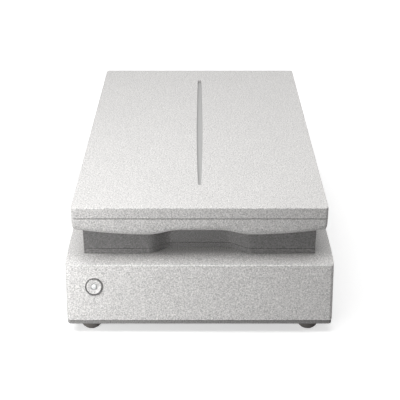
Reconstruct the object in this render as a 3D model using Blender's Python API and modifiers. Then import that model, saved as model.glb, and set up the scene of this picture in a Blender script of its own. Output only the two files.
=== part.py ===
"""Flatbed photo scanner with a film lamp in its lifting, hinged lid.

Metres, +Z up, front towards -Y. The origin is on the table, under the middle of the machine.
"""
import math

import bmesh
import bpy
from mathutils import Matrix, Vector

# Overall size
CASE_WIDTH = 0.308
CASE_DEPTH = 0.503
CASE_HEIGHT = 0.066
CREASE_DROP = 0.004
LID_RISE = 0.066
SEAT_GAP = 0.0003
WELD_GAP = 0.00001
OVERRUN = 0.004
ROUND_STEPS = 5
TURN_STEPS = 28

# Upper case: a light shell whose front leans back
CASE_WALL = 0.0028
CASE_DRAFT = 0.001
FRONT_LEAN = math.radians(16.5)
CASE_CORNER_R = 0.0045
CASE_EDGE_R = 0.0012
EDGE_STEPS = 3
SHELF_DEPTH = 0.0202
SHARP_ANGLE = math.radians(30)
FACING_SHARE = 0.5
UPRIGHT_SHARE = 0.8

# Lower case: a tray that the upper case drops over
TRAY_BOTTOM_Z = 0.012
TRAY_HEIGHT = 0.018
TRAY_SKIRT = 0.006
TRAY_WALL = 0.0025
TRAY_CORNER_R = 0.003
TRAY_EDGE_R = 0.0012
TRAY_RIM_INSET = 0.0008
TRAY_RIM_GAP = 0.0011
TRAY_EDGE_SHARE = 0.3

# Feet
FOOT_R = 0.012
FOOT_SOLE_R = 0.0085
FOOT_ROUND_SHARE = 0.85
FOOT_INSET_X = 0.0275
FOOT_INSET_FRONT = 0.0185
FOOT_INSET_REAR = 0.0265

# Platen glass and its window in the deck
WINDOW_INSET_X = 0.045
WINDOW_INSET_FRONT = 0.0915
WINDOW_INSET_REAR = 0.1015
GLASS_LAP = 0.009
GLASS_FRONT_LAP = 0.020
GLASS_THICKNESS = 0.003
WINDOW_LIP = 0.0009
STRIP_LENGTH = 0.012
STRIP_THICKNESS = 0.0008

# Power button in the front face
BUTTON_INSET_X = 0.033
BUTTON_HEIGHT_SHARE = 0.6113
BUTTON_R = 0.0082
BUTTON_LENGTH = 0.0048
BUTTON_DISH = 0.0006
BUTTON_PROUD = 0.0004
BUTTON_TRAVEL = 0.0015
BUTTON_STEM_R = 0.0022
LENS_R = 0.0033
LENS_LENGTH = 0.0016
LENS_DOME_SHARE = 0.95
LENS_EDGE_SHARE = 0.7
RING_R = 0.0104
RING_LIP = 0.0008
RING_WALL = 0.0009
RING_DEPTH = 0.0052
BUTTON_BOARD_SETBACK = 0.0105
BUTTON_BOARD_WIDTH = 0.030
BUTTON_BOARD_HEIGHT = 0.018
BOARD_THICKNESS = 0.0016
BUTTON_SPRING_R = 0.0052
BUTTON_SPRING_WIRE = 0.0004
BUTTON_SPRING_TURNS = 4

# Guide shaft and glide rail for the optics carriage
SHAFT_R = 0.004
SHAFT_CLEARANCE = 0.003
SHAFT_RISE = 0.009
SHAFT_PILLAR = 0.010
SHAFT_FRONT_CLEARANCE = 0.002
SHAFT_REAR_CLEARANCE = 0.001
RAIL_INSET_X = 0.054
RAIL_WIDTH = 0.008

# Optics carriage
CARRIAGE_INSET_X = 0.028
CARRIAGE_INSET_FRONT = 0.0315
CARRIAGE_END_INSET = 0.0685
CARRIAGE_DEPTH = 0.085
CARRIAGE_FLOOR_CLEARANCE = 0.0155
CARRIAGE_DECK_CLEARANCE = 0.007
CARRIAGE_WALL = 0.002
CARRIAGE_COVER_THICKNESS = 0.0015
SCAN_SLOT_SHARE = 0.588
SCAN_SLOT_WIDTH = 0.016
SCAN_SLOT_MARGIN = 0.009
BUSH_WALL = 0.003
BUSH_LENGTH = 0.014
SCAN_LAMP_R = 0.0014
LAMP_DROP = 0.006
LAMP_OFFSET = 0.004
REFLECTOR_WIDTH = 0.008
REFLECTOR_DEPTH = 0.004
REFLECTOR_WALL = 0.0006
MIRROR_THICKNESS = 0.002
MIRROR_WIDTH_SHARE = 0.34
MIRROR_OFFSET = 0.006
REAR_MIRROR_SHARE = 0.575
FRONT_MIRROR_SHARE = 0.34
REAR_MIRROR_TILT = math.radians(45)
FRONT_MIRROR_TILT = math.radians(-50)
FRONT_MIRROR_SETBACK = 0.016
LENS_BARREL_SHARE = 0.19
LENS_BARREL_LENGTH_SHARE = 0.165
LENS_BARREL_SETBACK_SHARE = 0.841
LENS_SADDLE_HEIGHT = 0.004
SENSOR_BOARD_WIDTH = 0.070
SENSOR_BOARD_SHARE = 0.64

# Belt drive of the carriage
DRIVE_CLEARANCE = 0.004
BELT_THICKNESS = 0.0012
BELT_WIDTH = 0.006
PULLEY_R = 0.0075
PULLEY_FLANGE_R = 0.0095
PULLEY_FLANGE = 0.0009
PULLEY_CLEARANCE = 0.001
BELT_REAR_REACH = 0.017
BELT_FRONT_INSET = 0.004
AXLE_R = 0.0020
AXLE_GAP = 0.0003
GEAR_TEETH = 50
PINION_TEETH = 14
TOOTH_MODULE = 0.0008
TOOTH_TIP_SHARE = 0.8
TOOTH_ROOT_SHARE = 1.1
TOOTH_FOOT_SHARE = 0.32
TOOTH_LAND_SHARE = 0.10
GEAR_WIDTH = 0.0036
PINION_BEARING = math.radians(30)
MOTOR_R = 0.0160
MOTOR_HEIGHT = 0.022
MOTOR_SHAFT_R = 0.0012
SHAFT_HOLE_R = 0.0024
BRACKET_THICKNESS = 0.0015
BRACKET_MARGIN = 0.003
BRACKET_LEG = 0.0015
CLAMP_WIDTH = 0.008
CLAMP_LENGTH = 0.016
CLAMP_WALL = 0.0014
IDLER_BASE_THICKNESS = 0.0015
IDLER_BASE_LENGTH = 0.018
IDLER_BASE_WIDTH = 0.020
IDLER_SHOULDER_R = 0.0040
TENSION_SPRING_R = 0.0020
TENSION_SPRING_WIRE = 0.0004
TENSION_SPRING_PITCH = 0.0016
TENSION_SPRING_TURNS = 6

# Ribbon cable from the main board to the carriage
RIBBON_INSET = 0.0096
RIBBON_WIDTH = 0.020
RIBBON_THICKNESS = 0.0005
RIBBON_TAIL = 0.012

# Main board and the sockets in the rear wall
MAIN_BOARD_SHARE = 0.8
MAIN_BOARD_DEPTH = 0.038
MAIN_BOARD_RISE = 0.008
STANDOFF = 0.004
SOCKET_MARGIN = 0.0012
SOCKET_REACH = 0.014
SOCKET_FLOOR = 0.0025
SOCKET_SPACING = 0.004
SOCKET_INSET = 0.0034
USB_WIDTH = 0.0084
USB_HEIGHT = 0.0078
INLET_WIDTH = 0.0074
INLET_HEIGHT = 0.0074
FILM_SOCKET_WIDTH = 0.0120
FILM_SOCKET_HEIGHT = 0.0060

# Transport lock in the floor
LOCK_SETBACK = 0.042
LOCK_CABLE_CLEARANCE = 0.046
LOCK_TRAVEL = 0.008
LOCK_PLATE_LENGTH = 0.030
LOCK_PLATE_WIDTH = 0.018
LOCK_PLATE_THICKNESS = 0.0014
LOCK_KNOB_LENGTH = 0.012
LOCK_KNOB_WIDTH = 0.008
LOCK_KNOB_GRIP = 0.0012
LOCK_TAB_THICKNESS = 0.003
LOCK_TAB_WIDTH = 0.010
LOCK_TAB_RISE = 0.0045
LOCK_CATCH_WIDTH = 0.0016

# Hinge posts that slide up in sockets at the rear of the case
HINGE_INSET_REAR = 0.015
HINGE_HEIGHT_SHARE = 0.56
HINGE_INSET_X = 0.054
POST_WIDTH = 0.024
POST_THICKNESS = 0.012
POST_FLOOR_CLEARANCE = 0.0095
POST_SHOULDER = 0.003
POST_SHOULDER_REACH = 0.0016
POST_GAP = 0.0003
SLEEVE_WALL = 0.0018
SLEEVE_SETBACK = 0.009
EYE_R = 0.0070
EYE_WIDTH = 0.018
PIN_R = 0.0028
PIN_GAP = 0.0003
PIN_HEAD_R = 0.0045
PIN_HEAD = 0.0012
EAR_THICKNESS = 0.0020
EAR_R = 0.0062
EAR_GAP = 0.0004
BRACKET_PLATE = 0.0016

# Lid covers
LID_INSET_X = 0.0095
LID_INSET_FRONT = 0.025
LID_CORNER_R = 0.0037
LID_EDGE_R = 0.0012
LID_WALL = 0.0025
LID_TOP_DEPTH = 0.014
LID_SIDE_DEPTH = 0.0145
SEAM_GAP = 0.0005
LID_SIDE_STEPS = 14
LIP_DIP = 0.0066
LIP_NOTCH_DIP = 0.0008
LIP_DIP_SHARE = 0.398
LIP_NOTCH_SHARE = 0.1626
LIP_END_INSET = 0.0045
LIP_SKEW = 0.9
LIP_STEPS = 36
FLANGE_THICKNESS = 0.0022
FLANGE_LAP = 0.0060
LIP_TUCK = 0.0030
LIP_FLAT = 0.0035
LIP_RETURN = 0.0030
MERGE_GAP = 0.0001
# Where the lid's side turns in: shares of the tuck, of the height down and of the wave
LID_SIDE_SHARES = ((0.0, 0.45, 0.25), (0.12, 0.70, 0.65), (0.45, 0.90, 0.92))

# Spindle-shaped slit along the middle of the lid and the inlay below it
SLIT_INSET_FRONT = 0.0605
SLIT_INSET_REAR = 0.0475
SLIT_FRONT_HALF = 0.0016
SLIT_REAR_HALF = 0.0026
SLIT_BULGE = 0.0017
SLIT_SKEW = 0.8
INLAY_BORDER = 0.0040
INLAY_THICKNESS = 0.0012

# Film lamp housing: the dark box under the lid
HOUSING_INSET_X = 0.0107
HOUSING_INSET_FRONT = 0.0143
HOUSING_INSET_REAR = 0.0295
HOUSING_WALL = 0.0025
MAT_DEPTH = 0.0064
SCOOP_DEPTH = 0.0147
SCOOP_FLAT_SHARE = 0.234
SCOOP_END_SHARE = 0.446
SCOOP_STEPS = 6
MAT_BAR_DEPTH = 0.0220
LEDGE_WIDTH = 0.0070
LEDGE_THICKNESS = 0.0012
FILM_WINDOW_INSET_X = 0.0338
FILM_WINDOW_INSET_FRONT = 0.0972
FILM_WINDOW_INSET_REAR = 0.0870
FILM_PANE_LAP = 0.005
FILM_PANE_THICKNESS = 0.002

# Document mat
MAT_PAD_INSET = 0.0010

# Film lamp carriage in the lid
FILM_ROD_R = 0.003
FILM_ROD_INSET_X = 0.0228
FILM_ROD_END_CLEARANCE = 0.004
FILM_ROD_PILLAR = 0.008
FILM_RAIL_INSET_X = 0.0218
FILM_RAIL_WIDTH = 0.008
FILM_CARRIAGE_DEPTH = 0.040
FILM_CARRIAGE_INSET_REAR = 0.072
FILM_CARRIAGE_INSET_FRONT = 0.0922
FILM_CARRIAGE_INSET_X = 0.0148
FILM_CARRIAGE_RISE_SHARE = 0.214
FILM_CARRIAGE_DROP = 0.0047
FILM_CARRIAGE_WALL = 0.0018
FILM_LAMP_R = 0.0015
FILM_BELT_INSET_X = 0.0738
FILM_BELT_REACH = 0.0240
FILM_PULLEY_R = 0.0060
FILM_PULLEY_FLANGE_R = 0.0076
FILM_PULLEY_FLANGE = 0.00045
FILM_PULLEY_DROP = 0.0039
FILM_BELT_WIDTH = 0.0036
FILM_BELT_THICKNESS = 0.0010
FILM_MOTOR_R = 0.0150
FILM_MOTOR_HEIGHT = 0.0185
FILM_PLATE_THICKNESS = 0.0014
FILM_PLATE_HALF = 0.0200
FILM_PLATE_MARGIN = 0.012
FILM_CLAMP_LENGTH = 0.010

# Gland for the lid's cable
GLAND_INSET_X = 0.040
GLAND_R = 0.0038
GLAND_BORE_R = 0.0018
GLAND_LENGTH = 0.010
GLAND_FLANGE_R = 0.0052
GLAND_FLANGE = 0.0014
GLAND_RISE = 0.0083

# Levels worked out from the sizes above
FLOOR_Z = TRAY_BOTTOM_Z + TRAY_WALL
TRAY_TOP_Z = TRAY_BOTTOM_Z + TRAY_HEIGHT
CASE_BOTTOM_Z = TRAY_BOTTOM_Z + TRAY_SKIRT
DECK_Z = CASE_BOTTOM_Z + CASE_HEIGHT
CREASE_Z = DECK_Z - CREASE_DROP
BUTTON_Z = CASE_BOTTOM_Z + BUTTON_HEIGHT_SHARE * (CREASE_Z - CASE_BOTTOM_Z)
GLASS_TOP_Z = DECK_Z - WINDOW_LIP - SEAT_GAP
GLASS_BOTTOM_Z = GLASS_TOP_Z - GLASS_THICKNESS
SHAFT_Z = FLOOR_Z + SHAFT_RISE
CARRIAGE_BOTTOM_Z = FLOOR_Z + CARRIAGE_FLOOR_CLEARANCE
CARRIAGE_TOP_Z = DECK_Z - CARRIAGE_DECK_CLEARANCE
CARRIAGE_HEIGHT = CARRIAGE_TOP_Z - CARRIAGE_BOTTOM_Z
REAR_MIRROR_Z = CARRIAGE_BOTTOM_Z + REAR_MIRROR_SHARE * CARRIAGE_HEIGHT
FRONT_MIRROR_Z = CARRIAGE_BOTTOM_Z + FRONT_MIRROR_SHARE * CARRIAGE_HEIGHT
MIRROR_WIDTH = MIRROR_WIDTH_SHARE * CARRIAGE_HEIGHT
LENS_BARREL_R = LENS_BARREL_SHARE * CARRIAGE_HEIGHT
PULLEY_TOP_Z = CARRIAGE_BOTTOM_Z - PULLEY_CLEARANCE
BELT_BOTTOM_Z = PULLEY_TOP_Z - PULLEY_FLANGE - SEAT_GAP - BELT_WIDTH
MAIN_BOARD_Z = FLOOR_Z + MAIN_BOARD_RISE
POST_BOTTOM_Z = FLOOR_Z + POST_FLOOR_CLEARANCE
SLEEVE_BOTTOM_Z = POST_BOTTOM_Z + SLEEVE_SETBACK
LID_TOP_Z = DECK_Z + LID_RISE
SEAM_Z = LID_TOP_Z - LID_TOP_DEPTH
LIP_Z = SEAM_Z - LID_SIDE_DEPTH
HINGE_Z = DECK_Z + HINGE_HEIGHT_SHARE * (LIP_Z - DECK_Z)
GLAND_Z = LIP_Z + GLAND_RISE
HOUSING_TOP_Z = LIP_Z - SEAT_GAP
HOUSING_BOTTOM_Z = DECK_Z + SEAT_GAP
HOUSING_FLOOR_Z = HOUSING_BOTTOM_Z + MAT_DEPTH
PANE_BOTTOM_Z = HOUSING_FLOOR_Z + HOUSING_WALL + SEAT_GAP
PANE_TOP_Z = PANE_BOTTOM_Z + FILM_PANE_THICKNESS
FILM_CARRIAGE_BOTTOM_Z = PANE_TOP_Z + FILM_CARRIAGE_RISE_SHARE * (HOUSING_TOP_Z - PANE_TOP_Z)
FILM_CARRIAGE_TOP_Z = LIP_Z - FILM_CARRIAGE_DROP
FILM_ROD_Z = (FILM_CARRIAGE_BOTTOM_Z + FILM_CARRIAGE_TOP_Z) / 2
FILM_PULLEY_BOTTOM_Z = LIP_Z - FILM_PULLEY_DROP

# Places from front to rear
CASE_FRONT_Y = -CASE_DEPTH / 2
CASE_REAR_Y = CASE_DEPTH / 2
LEAN_SLOPE = math.tan(FRONT_LEAN)
WALL_ALONG_Y = CASE_WALL / math.cos(FRONT_LEAN)
WINDOW_FRONT_Y = CASE_FRONT_Y + WINDOW_INSET_FRONT
WINDOW_REAR_Y = CASE_REAR_Y - WINDOW_INSET_REAR
GLASS_FRONT_Y = WINDOW_FRONT_Y - GLASS_FRONT_LAP
GLASS_REAR_Y = WINDOW_REAR_Y + GLASS_LAP
CARRIAGE_FRONT_Y = CASE_FRONT_Y + CARRIAGE_INSET_FRONT
CARRIAGE_REAR_Y = CARRIAGE_FRONT_Y + CARRIAGE_DEPTH
CARRIAGE_END_Y = CASE_REAR_Y - CARRIAGE_END_INSET
SCAN_SLOT_Y = CARRIAGE_FRONT_Y + SCAN_SLOT_SHARE * CARRIAGE_DEPTH
LENS_BARREL_Y = CARRIAGE_FRONT_Y + LENS_BARREL_SETBACK_SHARE * CARRIAGE_DEPTH
LENS_BARREL_LENGTH = LENS_BARREL_LENGTH_SHARE * CARRIAGE_DEPTH
LOCK_Y = CARRIAGE_FRONT_Y + LOCK_SETBACK
SHAFT_FRONT_Y = CARRIAGE_FRONT_Y - SHAFT_FRONT_CLEARANCE - SHAFT_PILLAR
SHAFT_REAR_Y = CARRIAGE_END_Y + SHAFT_REAR_CLEARANCE + SHAFT_PILLAR
BELT_REAR_Y = CARRIAGE_END_Y + BELT_REAR_REACH
BELT_FRONT_Y = CARRIAGE_FRONT_Y + BELT_FRONT_INSET
MAIN_BOARD_REAR_Y = CASE_REAR_Y - CASE_WALL - SOCKET_REACH / 2
MAIN_BOARD_FRONT_Y = MAIN_BOARD_REAR_Y - MAIN_BOARD_DEPTH
HINGE_Y = CASE_REAR_Y - HINGE_INSET_REAR
LID_FRONT_Y = CASE_FRONT_Y + LID_INSET_FRONT
LID_REAR_Y = CASE_REAR_Y
SLIT_FRONT_Y = LID_FRONT_Y + SLIT_INSET_FRONT
SLIT_REAR_Y = LID_REAR_Y - SLIT_INSET_REAR
HOUSING_FRONT_Y = LID_FRONT_Y + HOUSING_INSET_FRONT
HOUSING_REAR_Y = LID_REAR_Y - HOUSING_INSET_REAR
FILM_WINDOW_FRONT_Y = HOUSING_FRONT_Y + FILM_WINDOW_INSET_FRONT
FILM_WINDOW_REAR_Y = HOUSING_REAR_Y - FILM_WINDOW_INSET_REAR
FILM_CARRIAGE_Y = HOUSING_REAR_Y - FILM_CARRIAGE_INSET_REAR
FILM_END_Y = HOUSING_FRONT_Y + FILM_CARRIAGE_INSET_FRONT
FILM_ROD_OVERHANG = FILM_CARRIAGE_DEPTH / 2 + FILM_ROD_END_CLEARANCE + FILM_ROD_PILLAR
FILM_ROD_REAR_Y = FILM_CARRIAGE_Y + FILM_ROD_OVERHANG
FILM_ROD_FRONT_Y = FILM_END_Y - FILM_ROD_OVERHANG
FILM_BELT_REAR_Y = FILM_CARRIAGE_Y + FILM_CARRIAGE_DEPTH / 2 + FILM_BELT_REACH
FILM_BELT_FRONT_Y = FILM_END_Y - FILM_CARRIAGE_DEPTH / 2 - FILM_BELT_REACH

# Places from side to side
CASE_HALF = CASE_WIDTH / 2
WINDOW_HALF = CASE_HALF - WINDOW_INSET_X
BUTTON_X = -CASE_HALF + BUTTON_INSET_X
CARRIAGE_HALF = CASE_HALF - CARRIAGE_INSET_X
CARRIAGE_INNER_HALF = CARRIAGE_HALF - CARRIAGE_WALL
RAIL_X = CASE_HALF - RAIL_INSET_X
HINGE_X = CASE_HALF - HINGE_INSET_X
SLEEVE_HALF = POST_WIDTH / 2 + POST_GAP + SLEEVE_WALL
GEAR_R = GEAR_TEETH * TOOTH_MODULE / 2
PINION_R = PINION_TEETH * TOOTH_MODULE / 2
GEAR_SPACING = GEAR_R + PINION_R
DRIVE_LEFT_X = -HINGE_X + SLEEVE_HALF + DRIVE_CLEARANCE
BELT_X = DRIVE_LEFT_X + BRACKET_MARGIN + GEAR_R
MOTOR_X = BELT_X + GEAR_SPACING * math.cos(PINION_BEARING)
MOTOR_Y = BELT_REAR_Y + GEAR_SPACING * math.sin(PINION_BEARING)
DRIVE_RIGHT_X = MOTOR_X + MOTOR_R + BRACKET_MARGIN
SHAFT_X = DRIVE_LEFT_X - SHAFT_CLEARANCE - SHAFT_R
MAIN_BOARD_RIGHT_X = HINGE_X - SLEEVE_HALF - SEAT_GAP
MAIN_BOARD_HALF = MAIN_BOARD_SHARE * (MAIN_BOARD_RIGHT_X - DRIVE_RIGHT_X) / 2
MAIN_BOARD_X = MAIN_BOARD_RIGHT_X - MAIN_BOARD_HALF
FILM_SOCKET_X = MAIN_BOARD_RIGHT_X - SOCKET_INSET - SOCKET_MARGIN - FILM_SOCKET_WIDTH / 2
SOCKET_STEP = SOCKET_SPACING + 2 * SOCKET_MARGIN
INLET_X = FILM_SOCKET_X - FILM_SOCKET_WIDTH / 2 - SOCKET_STEP - INLET_WIDTH / 2
USB_X = INLET_X - INLET_WIDTH / 2 - SOCKET_STEP - USB_WIDTH / 2
RIBBON_X = MAIN_BOARD_RIGHT_X - RIBBON_INSET
LOCK_X = RIBBON_X - LOCK_CABLE_CLEARANCE
LID_HALF = CASE_HALF - LID_INSET_X
LIP_DIP_X = LIP_DIP_SHARE * LID_HALF
LIP_NOTCH_X = LIP_NOTCH_SHARE * LID_HALF
LIP_END_X = LID_HALF - LIP_END_INSET
GLAND_X = -HINGE_X + GLAND_INSET_X
HOUSING_HALF = LID_HALF - HOUSING_INSET_X
SCOOP_FLAT_HALF = SCOOP_FLAT_SHARE * HOUSING_HALF
SCOOP_END_HALF = SCOOP_END_SHARE * HOUSING_HALF
FILM_WINDOW_HALF = HOUSING_HALF - FILM_WINDOW_INSET_X
FILM_ROD_X = -HOUSING_HALF + FILM_ROD_INSET_X
FILM_RAIL_X = HOUSING_HALF - FILM_RAIL_INSET_X
FILM_CARRIAGE_HALF = HOUSING_HALF - FILM_CARRIAGE_INSET_X
FILM_BELT_X = HOUSING_HALF - FILM_BELT_INSET_X

SILVER = ("silver_plastic", (0.60, 0.60, 0.585), 0.42, 0.15)
TRAY_GREY = ("grey_plastic", (0.30, 0.30, 0.295), 0.55, 0.0)
DARK = ("dark_plastic", (0.095, 0.097, 0.10), 0.55, 0.0)
BLACK = ("black_plastic", (0.02, 0.02, 0.021), 0.5, 0.0)
WHITE = ("white_plastic", (0.82, 0.82, 0.80), 0.6, 0.0)
RUBBER = ("rubber", (0.035, 0.035, 0.036), 0.85, 0.0)
STEEL = ("steel", (0.62, 0.62, 0.63), 0.28, 1.0)
ZINC = ("zinc_plate", (0.55, 0.56, 0.58), 0.4, 1.0)
GLASS = ("glass", (0.80, 0.86, 0.85), 0.05, 0.0)
MIRROR = ("mirror", (0.85, 0.86, 0.88), 0.03, 1.0)
BOARD = ("circuit_board", (0.03, 0.16, 0.07), 0.5, 0.0)
NYLON = ("nylon", (0.78, 0.76, 0.68), 0.5, 0.0)
BELTING = ("belt_rubber", (0.03, 0.03, 0.03), 0.8, 0.0)
RIBBON = ("ribbon_film", (0.75, 0.76, 0.74), 0.4, 0.0)
LAMP = ("lamp_glass", (0.92, 0.93, 0.92), 0.2, 0.0)
INLAY = ("inlay", (0.45, 0.46, 0.46), 0.2, 0.3)


def start_clean():
    for old in list(bpy.data.objects):
        bpy.data.objects.remove(old, do_unlink=True)


def make_collection(name):
    collection = bpy.data.collections.new(name)
    bpy.context.scene.collection.children.link(collection)
    return collection


start_clean()
PARTS = make_collection("photo_scanner")
CUTTERS = make_collection("cutters")


def material(finish):
    name, colour, roughness, metallic = finish
    found = bpy.data.materials.get(name)
    if found:
        return found
    made = bpy.data.materials.new(name)
    made.use_nodes = True
    shader = made.node_tree.nodes["Principled BSDF"]
    shader.inputs["Base Color"].default_value = (*colour, 1)
    shader.inputs["Roughness"].default_value = roughness
    shader.inputs["Metallic"].default_value = metallic
    return made


def object_from(mesh, name, finish=None):
    """Links a mesh as a part when it has a finish, or else as a cutter."""
    made = bpy.data.objects.new(name, mesh)
    if finish:
        PARTS.objects.link(made)
        mesh.materials.clear()
        mesh.materials.append(material(finish))
    else:
        CUTTERS.objects.link(made)
        made.hide_render = True
        made.display_type = "WIRE"
    return made


def object_from_bmesh(bm, name, finish=None):
    bmesh.ops.recalc_face_normals(bm, faces=bm.faces)
    mesh = bpy.data.meshes.new(name)
    bm.to_mesh(mesh)
    bm.free()
    return object_from(mesh, name, finish)


def box(name, low, high, finish=None):
    """A box between two corners, its origin at its centre."""
    low, high = Vector(low), Vector(high)
    bm = bmesh.new()
    bmesh.ops.create_cube(bm, size=1.0)
    bmesh.ops.scale(bm, vec=high - low, verts=bm.verts)
    made = object_from_bmesh(bm, name, finish)
    made.location = (low + high) / 2
    return made


def cylinder(name, start, end, radius, finish=None, steps=TURN_STEPS):
    start, end = Vector(start), Vector(end)
    bm = bmesh.new()
    bmesh.ops.create_cone(bm, cap_ends=True, segments=steps, radius1=radius, radius2=radius,
                          depth=(end - start).length)
    made = object_from_bmesh(bm, name, finish)
    made.rotation_mode = "QUATERNION"
    made.rotation_quaternion = Vector((0, 0, 1)).rotation_difference(end - start)
    made.location = (start + end) / 2
    smooth(made)
    return made


def smooth(made, angle=math.radians(35)):
    made.data.shade_smooth()
    made.data.set_sharp_from_angle(angle=angle)


def turned(name, profile, finish, location, axis=(0, 0, 1), steps=TURN_STEPS):
    """Turns a profile of (radius, height) points about an axis, listed down its outer side.

    The profile closes on itself, but no edge of it is drawn along the axis.
    """
    mesh = bpy.data.meshes.new(name)
    pairs = [(step, (step + 1) % len(profile)) for step in range(len(profile))]
    edges = [(one, two) for one, two in pairs if profile[one][0] or profile[two][0]]
    mesh.from_pydata([(radius, 0, height) for radius, height in profile], edges, [])
    made = object_from(mesh, name, finish)
    screw = made.modifiers.new("turn", "SCREW")
    screw.steps = steps
    screw.render_steps = steps
    screw.use_merge_vertices = True
    screw.merge_threshold = WELD_GAP
    screw.use_smooth_shade = True
    made.rotation_mode = "QUATERNION"
    made.rotation_quaternion = Vector((0, 0, 1)).rotation_difference(Vector(axis))
    made.location = location
    return made


def mesh_from_curve(curve_object, name, finish):
    """Turns a curve into one closed mesh, with its caps welded, and removes the curve."""
    bpy.context.view_layer.update()
    evaluated = curve_object.evaluated_get(bpy.context.evaluated_depsgraph_get())
    mesh = bpy.data.meshes.new_from_object(evaluated)
    bm = bmesh.new()
    bm.from_mesh(mesh)
    bmesh.ops.remove_doubles(bm, verts=bm.verts, dist=WELD_GAP)
    bmesh.ops.recalc_face_normals(bm, faces=bm.faces)
    bm.to_mesh(mesh)
    bm.free()
    mesh.materials.clear()
    made = object_from(mesh, name, finish)
    made.matrix_world = curve_object.matrix_world.copy()
    bpy.data.objects.remove(curve_object, do_unlink=True)
    return made


def plate(name, outlines, low_z, high_z, finish=None, turn=None):
    """Fills flat outlines, holes included, and gives them a thickness along Z.

    turn is a matrix that puts the plate's own X, Y and Z where they belong.
    """
    curve = bpy.data.curves.new(name, "CURVE")
    curve.dimensions = "2D"
    curve.fill_mode = "BOTH"
    curve.extrude = (high_z - low_z) / 2
    for outline in outlines:
        spline = curve.splines.new("POLY")
        spline.points.add(len(outline) - 1)
        for point, (x, y) in zip(spline.points, outline):
            point.co = (x, y, 0, 1)
        spline.use_cyclic_u = True
    drawn = bpy.data.objects.new(name + "_outline", curve)
    bpy.context.scene.collection.objects.link(drawn)
    place = Matrix.Translation((0, 0, (high_z + low_z) / 2))
    drawn.matrix_world = (turn @ place) if turn else place
    return mesh_from_curve(drawn, name, finish)


def tube(name, points, radius, finish, sides=1):
    curve = bpy.data.curves.new(name, "CURVE")
    curve.dimensions = "3D"
    curve.bevel_depth = radius
    curve.bevel_resolution = sides
    curve.use_fill_caps = True
    spline = curve.splines.new("POLY")
    spline.points.add(len(points) - 1)
    for point, place in zip(spline.points, points):
        point.co = (*place, 1)
    drawn = bpy.data.objects.new(name + "_path", curve)
    bpy.context.scene.collection.objects.link(drawn)
    return mesh_from_curve(drawn, name, finish)


def cut(target, *cutters):
    for cutter in cutters:
        change = target.modifiers.new("cut_" + cutter.name, "BOOLEAN")
        change.operation = "DIFFERENCE"
        change.object = cutter


def join(target, *others):
    for other in others:
        change = target.modifiers.new("join_" + other.name, "BOOLEAN")
        change.operation = "UNION"
        change.object = other


def rounded_rectangle(half_x, low_y, high_y, radius, steps=ROUND_STEPS, side_steps=1):
    """Points round a rectangle, from its right front corner anticlockwise."""
    corners = [(half_x - radius, low_y + radius, -90), (half_x - radius, high_y - radius, 0),
               (-half_x + radius, high_y - radius, 90), (-half_x + radius, low_y + radius, 180)]
    length = high_y - low_y - 2 * radius
    points = []
    for x, y, start in corners:
        for step in range(steps + 1):
            angle = math.radians(start + 90 * step / steps)
            points.append((x + radius * math.cos(angle), y + radius * math.sin(angle)))
        if start in (-90, 90):
            way = math.copysign(length, -start)
            points += [(points[-1][0], y + way * step / side_steps)
                       for step in range(1, side_steps)]
    return points


def lofted(name, rings, finish, close_first=False, close_last=False, around=False, wall=0.0):
    """Skins rings of equally many points; around joins the last ring to the first.

    A wall turns the skin into a shell.
    """
    bm = bmesh.new()
    loops = [[bm.verts.new(point) for point in ring] for ring in rings]
    for above, below in zip(loops, loops[1:] + loops[:1] if around else loops[1:]):
        for step in range(len(above)):
            after = (step + 1) % len(above)
            bm.faces.new((above[step], above[after], below[after], below[step]))
    if close_first:
        bm.faces.new(loops[0][::-1])
    if close_last:
        bm.faces.new(loops[-1])
    mesh = bpy.data.meshes.new(name)
    bm.to_mesh(mesh)
    bm.free()
    made = object_from(mesh, name, finish)
    if wall:
        shell = made.modifiers.new("wall", "SOLIDIFY")
        shell.thickness = abs(wall)
        shell.offset = math.copysign(1, wall)
        shell.use_even_offset = True
    return made


def case_front_y(z):
    """Where the leaning front face stands at a height."""
    return CASE_FRONT_Y + (z - CASE_BOTTOM_Z) * LEAN_SLOPE


def case_half(z):
    """Half the upper case's width at a height, with the sides' draft."""
    rise_share = (z - CASE_BOTTOM_Z) / (DECK_Z - CASE_BOTTOM_Z)
    return CASE_HALF - CASE_DRAFT * (1 - rise_share)


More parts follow.
